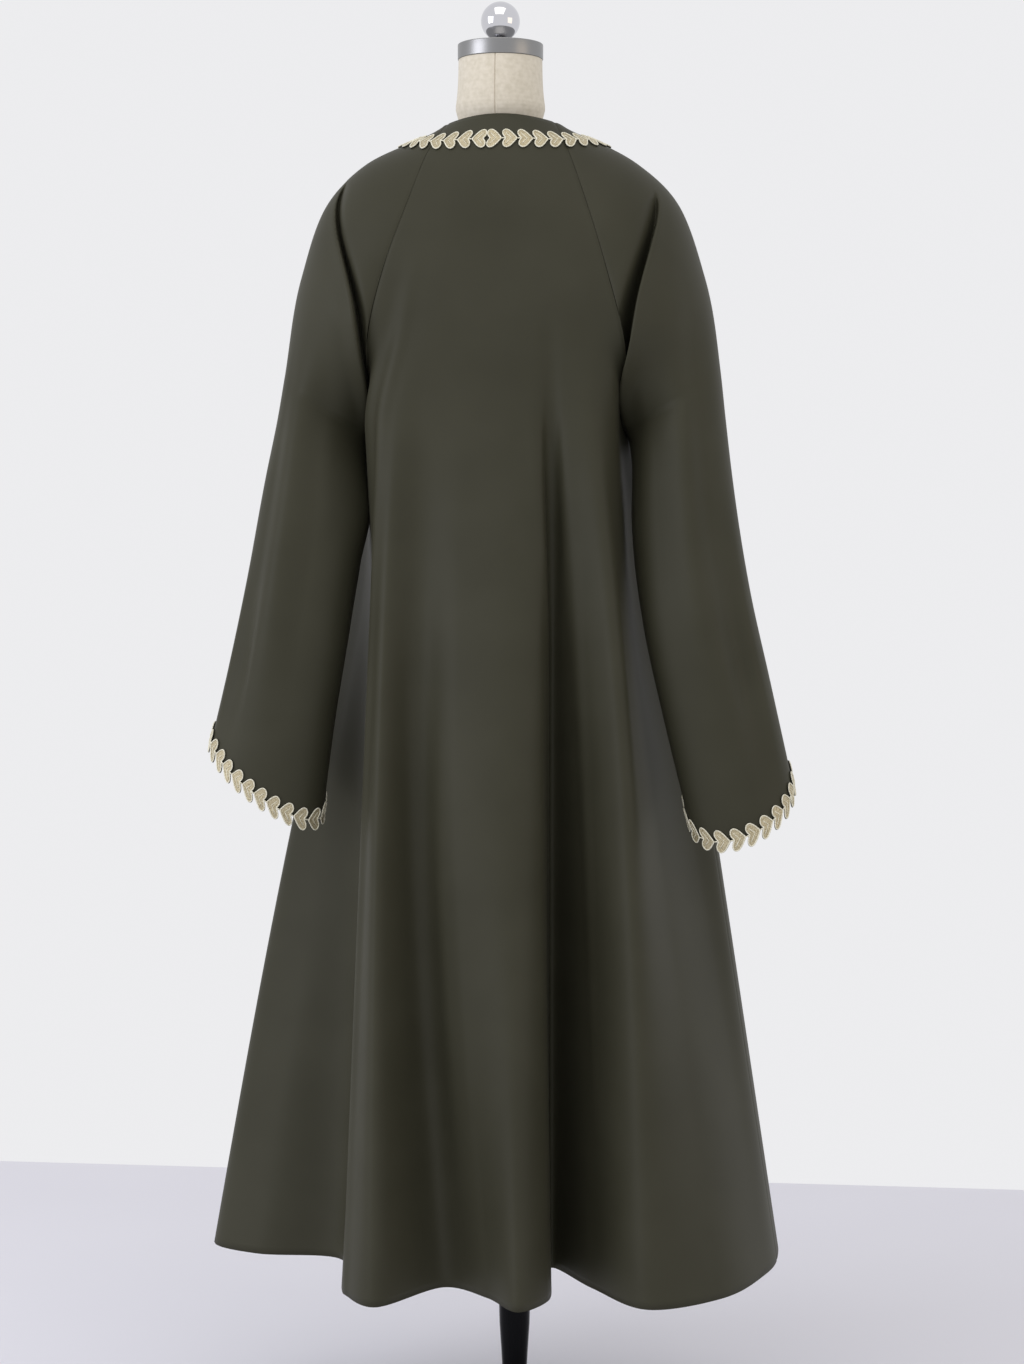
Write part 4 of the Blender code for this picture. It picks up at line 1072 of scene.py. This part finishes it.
# A cotton-linen weave is dry and matt, and its thicker threads show as faint patches.
linen, tree, shader = new_material("cream_cotton_linen", Roughness=0.82, IOR=1.47, Sheen_Weight=0.15)
spot, _ = two_shades(tree, shader, per_metre(SLUB_MM), 3.0, "#c5bdac", "#d2cabb", 0.3, 0.7)
# The wave texture turns through 20 radians a unit, so one band covers 2 pi threads.
warp = add_node(tree, "ShaderNodeTexWave", {"wave_type": "BANDS", "bands_direction": "Z",
                "Scale": per_metre(THREAD_MM) / WAVE_RADIANS, "Distortion": 1.2, "Detail": 1.0},
                {"Vector": spot.outputs["Object"]})
relief = add_node(tree, "ShaderNodeBump", {"Strength": 0.25, "Distance": 0.0003},
                  {"Height": warp.outputs["Fac"]})
tree.links.new(relief.outputs["Normal"], shader.inputs["Normal"])


def turned(name, rings, finish, x, sharp):
    """A closed solid through horizontal rings of points; edges over sharp degrees stay crisp."""
    made = bmesh.new()
    loops = [[made.verts.new(point) for point in ring] for ring in rings]
    for lower, upper in zip(loops, loops[1:]):
        for k in range(len(lower)):
            j = (k + 1) % len(lower)
            made.faces.new([lower[k], lower[j], upper[j], upper[k]])
    made.faces.new(loops[0][::-1])
    made.faces.new(loops[-1])
    mesh = bpy.data.meshes.new(name)
    made.to_mesh(mesh)
    made.free()
    mesh.materials.append(finish)
    mesh.polygons.foreach_set("use_smooth", [True] * len(mesh.polygons))
    mesh.set_sharp_from_angle(angle=math.radians(sharp))
    return show(name, mesh, x)


def form_rings():
    """Rings of the cover, with the seam's dip at the centre of the back."""
    heights = [ring.z for ring in FORM_RINGS]
    sizes = [(ring.half_width, ring.back, ring.front) for ring in FORM_RINGS]
    levels = np.linspace(heights[0], heights[-1], FORM_LEVELS)
    levels = np.unique(np.concatenate([levels, heights]))
    even = np.linspace(0, 2 * math.pi, FORM_TURNS, endpoint=False)
    seam = [math.pi / 2 + offset for offset in SEAM_TURNS]
    turns = np.unique(np.round(np.concatenate([even, seam]), 5))
    rings = []
    for z, (half_width, back, front) in zip(levels, through(sizes, heights, levels)):
        ease = FORM_EASE * min(1.0, max(0.0, (EASE_END_Z - z) / EASE_RUN))
        ring = []
        for turn in turns:
            depth = back if math.sin(turn) > 0 else front
            gap = abs(turn - math.pi / 2)
            inward = ease + sum(deep * math.exp(-((gap - place) / wide) ** 2)
                                for deep, place, wide in (GROOVE, FOLDED_EDGE))
            ring.append(((half_width - inward) * math.cos(turn),
                         (depth - inward) * math.sin(turn), z))
        rings.append(ring)
    return rings


cover = turned("linen_cover", form_rings(), linen, FORM_X, sharp=60.0)
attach(cover, "root")
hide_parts("form_torso")
print("linen cover from", FORM_BOTTOM_Z, "to", NECK_TOP_Z, "m")

# %% [markdown]
# ## Steel cap, chrome ball, lacquered column
# The cap and the ball are turned parts. The cap's steel is brushed as it spins, so its fine
# scratches run round the neck and stretch every highlight along them. The ball is plated
# bright and reflects the whole room. The column is a steel tube, sprayed in black lacquer
# with a soft gloss, and so is the weighted base, a plain round one as such stands have.

# %% Metal and lacquer materials
SCRATCH_MM = 0.25
HAZE_MM = 12.0
PEEL_MM = 3.0

# Brushing leaves a grain that draws each highlight out into a band.
steel, tree, shader = new_material("brushed_steel", Metallic=1.0, Roughness=0.30, Anisotropic=0.5)
shader.inputs["Base Color"].default_value = linear("#8f8f8f")
spot = add_node(tree, "ShaderNodeTexCoord")
lay = add_node(tree, "ShaderNodeMapping", {"Scale": (20.0, 20.0, per_metre(SCRATCH_MM))},
               {"Vector": spot.outputs["Object"]})
scratch = add_node(tree, "ShaderNodeTexNoise", {"Scale": 1.0, "Detail": 4.0},
                   {"Vector": lay.outputs["Vector"]})
dull = add_node(tree, "ShaderNodeMapRange", {"To Min": 0.22, "To Max": 0.40},
                {"Value": scratch.outputs["Fac"]})
relief = add_node(tree, "ShaderNodeBump", {"Strength": 0.12, "Distance": 0.0001},
                  {"Height": scratch.outputs["Fac"]})
tree.links.new(dull.outputs["Result"], shader.inputs["Roughness"])
tree.links.new(relief.outputs["Normal"], shader.inputs["Normal"])

# Plating gives a near mirror, and handling leaves a faint haze on it.
chrome, tree, shader = new_material("bright_chrome_plate", Metallic=1.0, Roughness=0.05)
shader.inputs["Base Color"].default_value = linear("#d6d6da")
spot = add_node(tree, "ShaderNodeTexCoord")
haze = add_node(tree, "ShaderNodeTexNoise", {"Scale": per_metre(HAZE_MM), "Detail": 2.0},
                {"Vector": spot.outputs["Object"]})
dull = add_node(tree, "ShaderNodeMapRange", {"To Min": 0.03, "To Max": 0.08},
                {"Value": haze.outputs["Fac"]})
tree.links.new(dull.outputs["Result"], shader.inputs["Roughness"])

# Sprayed lacquer is deep black, with a gloss that its slight orange peel softens.
lacquer, tree, shader = new_material("gloss_black_lacquer", Roughness=0.28, IOR=1.50,
                                     Specular_IOR_Level=0.10)
shader.inputs["Base Color"].default_value = linear("#08090c")
spot = add_node(tree, "ShaderNodeTexCoord")
peel = add_node(tree, "ShaderNodeTexNoise", {"Scale": per_metre(PEEL_MM), "Detail": 1.0},
                {"Vector": spot.outputs["Object"]})
relief = add_node(tree, "ShaderNodeBump", {"Strength": 0.06, "Distance": 0.0002},
                  {"Height": peel.outputs["Fac"]})
dull = add_node(tree, "ShaderNodeMapRange", {"To Min": 0.16, "To Max": 0.26},
                {"Value": peel.outputs["Fac"]})
tree.links.new(dull.outputs["Result"], shader.inputs["Roughness"])
tree.links.new(relief.outputs["Normal"], shader.inputs["Normal"])
print("scratches", SCRATCH_MM, "mm, peel", PEEL_MM, "mm")

# %% [markdown]
# The four metal parts are round, so each is made as on a lathe, from a profile of radius and
# height. The rims of the cap and the base are rounded a little, because a real edge always catches some
# light.

# %% Turned parts
CAP_RADIUS = 0.0525
CAP_HEIGHT = 0.0185
CAP_FOOT_EDGE = 0.0008
CAP_TOP_EDGE = 0.0010
BALL_RADIUS = 0.0240
BALL_STEM_RADIUS = 0.009
BALL_STEM_HEIGHT = 0.006
BASE_RADIUS = 0.160
BASE_HEIGHT = 0.016
BASE_FOOT_EDGE = 0.002
BASE_TOP_EDGE = 0.004
COLUMN_RADIUS = 0.0200
SEAT_GAP = 0.0003


def lathe(name, profile, finish, x, segments=96):
    """A turned solid through (radius, height) rings."""
    turns = [2 * math.pi * k / segments for k in range(segments)]
    rings = [[(r * math.cos(t), r * math.sin(t), z) for t in turns] for r, z in profile]
    return turned(name, rings, finish, x, sharp=30.0)


def rounded(radius, z, edge, upper, steps=6):
    """A rounded rim at radius and z: from flat to wall below, from wall to flat above."""
    arc = [math.radians(90 * k / steps) for k in range(steps + 1)]
    if upper:
        return [(radius - edge + edge * math.cos(a), z - edge + edge * math.sin(a)) for a in arc]
    return [(radius - edge + edge * math.sin(a), z + edge - edge * math.cos(a)) for a in arc]


cap_foot = NECK_TOP_Z + SEAT_GAP
cap_top = cap_foot + CAP_HEIGHT
cap = lathe("steel_cap", rounded(CAP_RADIUS, cap_foot, CAP_FOOT_EDGE, False) +
            rounded(CAP_RADIUS, cap_top, CAP_TOP_EDGE, True), steel, FORM_X)
seat = cap_top + SEAT_GAP
drop = math.sqrt(BALL_RADIUS**2 - BALL_STEM_RADIUS**2)
middle = seat + BALL_STEM_HEIGHT + drop
tilts = np.linspace(-math.asin(drop / BALL_RADIUS), math.radians(88), 48)
ball = lathe("chrome_ball", [(BALL_STEM_RADIUS, seat)] + [
    (BALL_RADIUS * math.cos(t), middle + BALL_RADIUS * math.sin(t)) for t in tilts], chrome, FORM_X)
column_profile = [(0.034, 0.0), (0.034, 0.004), (0.022, 0.012), (0.0156, 0.0287), (0.0156, 0.0547),
                  (0.0168, 0.0757), (0.0190, 0.1087), (COLUMN_RADIUS, 0.1487)]
seat = BASE_HEIGHT + SEAT_GAP
column = lathe("lacquered_column", [(r, seat + z) for r, z in column_profile] +
               [(COLUMN_RADIUS, FORM_BOTTOM_Z - SEAT_GAP)], lacquer, 0.0)
base = lathe("weighted_base", rounded(BASE_RADIUS, 0.0, BASE_FOOT_EDGE, False) +
             rounded(BASE_RADIUS, BASE_HEIGHT, BASE_TOP_EDGE, True), lacquer, 0.0, segments=160)
for piece, node, slot in ((cap, "neck_cap", "steel"), (ball, "ball_finial", "chrome"),
                          (column, "column", "lacquer"), (base, "base", "lacquer")):
    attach(piece, "root")
    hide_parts(node)
print("stand pieces", cap.name, ball.name, column.name, base.name)

# %% [markdown]
# ## The cloth pieces
# Each cloth piece is cut from a flat rectangle, and its cut is smaller than the rectangle,
# because the panels are flared and the sleeves taper to the neck. Here the pieces are counted.

print("sheets declared", len(cloak))

# %% [markdown]
# ## Floor, light and camera
# The cloak stands in a white room with soft windows at both sides, and the left one is the
# brighter. Two large soft lights take their place, a weaker one hangs overhead, and the world
# is near-white. A sun lamp would draw hard shadows that this room doesn't have. The floor is
# a plain pale sheet.

# %% Floor and light
FLOOR_SIZE = 2.6
FLOOR_SINK = 0.0005
CLOUDS_A_METRE = 1.5
ROOM_LIGHT = 0.95
LIGHT_AIM = np.array((0.0, 0.0, 0.95))

# A painted floor is matt, with a slight unevenness from wear.
floor_finish, tree, shader = new_material("pale_studio_floor", Roughness=0.7)
two_shades(tree, shader, CLOUDS_A_METRE, 2.0, "#d9d8e0", "#e0dfe6")
floor_mesh = bpy.data.meshes.new("studio_floor")
half = FLOOR_SIZE / 2
corners = [(-half, -half, 0), (half, -half, 0), (half, half, 0), (-half, half, 0)]
floor_mesh.from_pydata(corners, [], [(0, 1, 2, 3)])
floor_mesh.materials.append(floor_finish)
floor = bpy.data.objects.new("studio_floor", floor_mesh)
floor.location = (0.0, 0.0, -FLOOR_SINK)
bpy.context.scene.collection.objects.link(floor)

world = bpy.data.worlds.new("white_room")
world.use_nodes = True
room = world.node_tree.nodes["Background"]
room.inputs["Color"].default_value = linear("#f2f2f4")
room.inputs["Strength"].default_value = ROOM_LIGHT
bpy.context.scene.world = world
bpy.context.scene.view_settings.view_transform = "Standard"

Light = namedtuple("Light", "name place size power colour")
LIGHTS = [
    Light("left_window", (2.6, 1.9, 1.9), 1.8, 38.0, "#f5f6ff"),
    Light("right_window", (-2.8, 1.3, 1.7), 1.6, 6.5, "#ffe6c4"),
    Light("overhead", (0.0, 1.0, 3.2), 1.6, 9.0, "#fffaf0"),
]
for entry in LIGHTS:
    data = bpy.data.lights.new(entry.name, "AREA")
    data.size = entry.size
    data.energy = entry.power
    data.color = linear(entry.colour)[:3]
    lamp = bpy.data.objects.new(entry.name, data)
    lamp.location = entry.place
    aim = LIGHT_AIM - np.array(entry.place)
    tilt = math.acos(-aim[2] / np.linalg.norm(aim))
    lamp.rotation_euler = (tilt, 0.0, math.atan2(aim[1], aim[0]) - math.pi / 2)
    bpy.context.scene.collection.objects.link(lamp)
print("lights", [entry.name for entry in LIGHTS])

# %% [markdown]
# The camera stands behind the cloak, a little under chest height and seven degrees to the
# wearer's right of straight behind, and it looks slightly down. Its distance and its lens
# give the perspective of the picture.

# %% Camera
CAMERA_TURN = math.radians(187.0)
CAMERA_DISTANCE = 3.35
CAMERA_HEIGHT = 1.109
CAMERA_TILT = math.radians(3.03)
FOCAL_PIXELS = 2697.0
SIDE_PIXELS = 7.0
SENSOR_MM = 36.0
LENS_MM = 71.2

camera_data = bpy.data.cameras.new("photo_camera")
camera_data.sensor_width = SENSOR_MM
camera_data.lens = LENS_MM
camera = bpy.data.objects.new("photo_camera", camera_data)
camera.location = (math.sin(CAMERA_TURN) * CAMERA_DISTANCE + GARMENT_X,
                   -math.cos(CAMERA_TURN) * CAMERA_DISTANCE, CAMERA_HEIGHT)
side_turn = math.atan(SIDE_PIXELS / FOCAL_PIXELS)
camera.rotation_euler = (math.pi / 2 - CAMERA_TILT, 0.0, CAMERA_TURN - side_turn)
bpy.context.scene.collection.objects.link(camera)
bpy.context.scene.camera = camera
print("camera", CAMERA_DISTANCE, "m away with a lens of", LENS_MM, "mm")
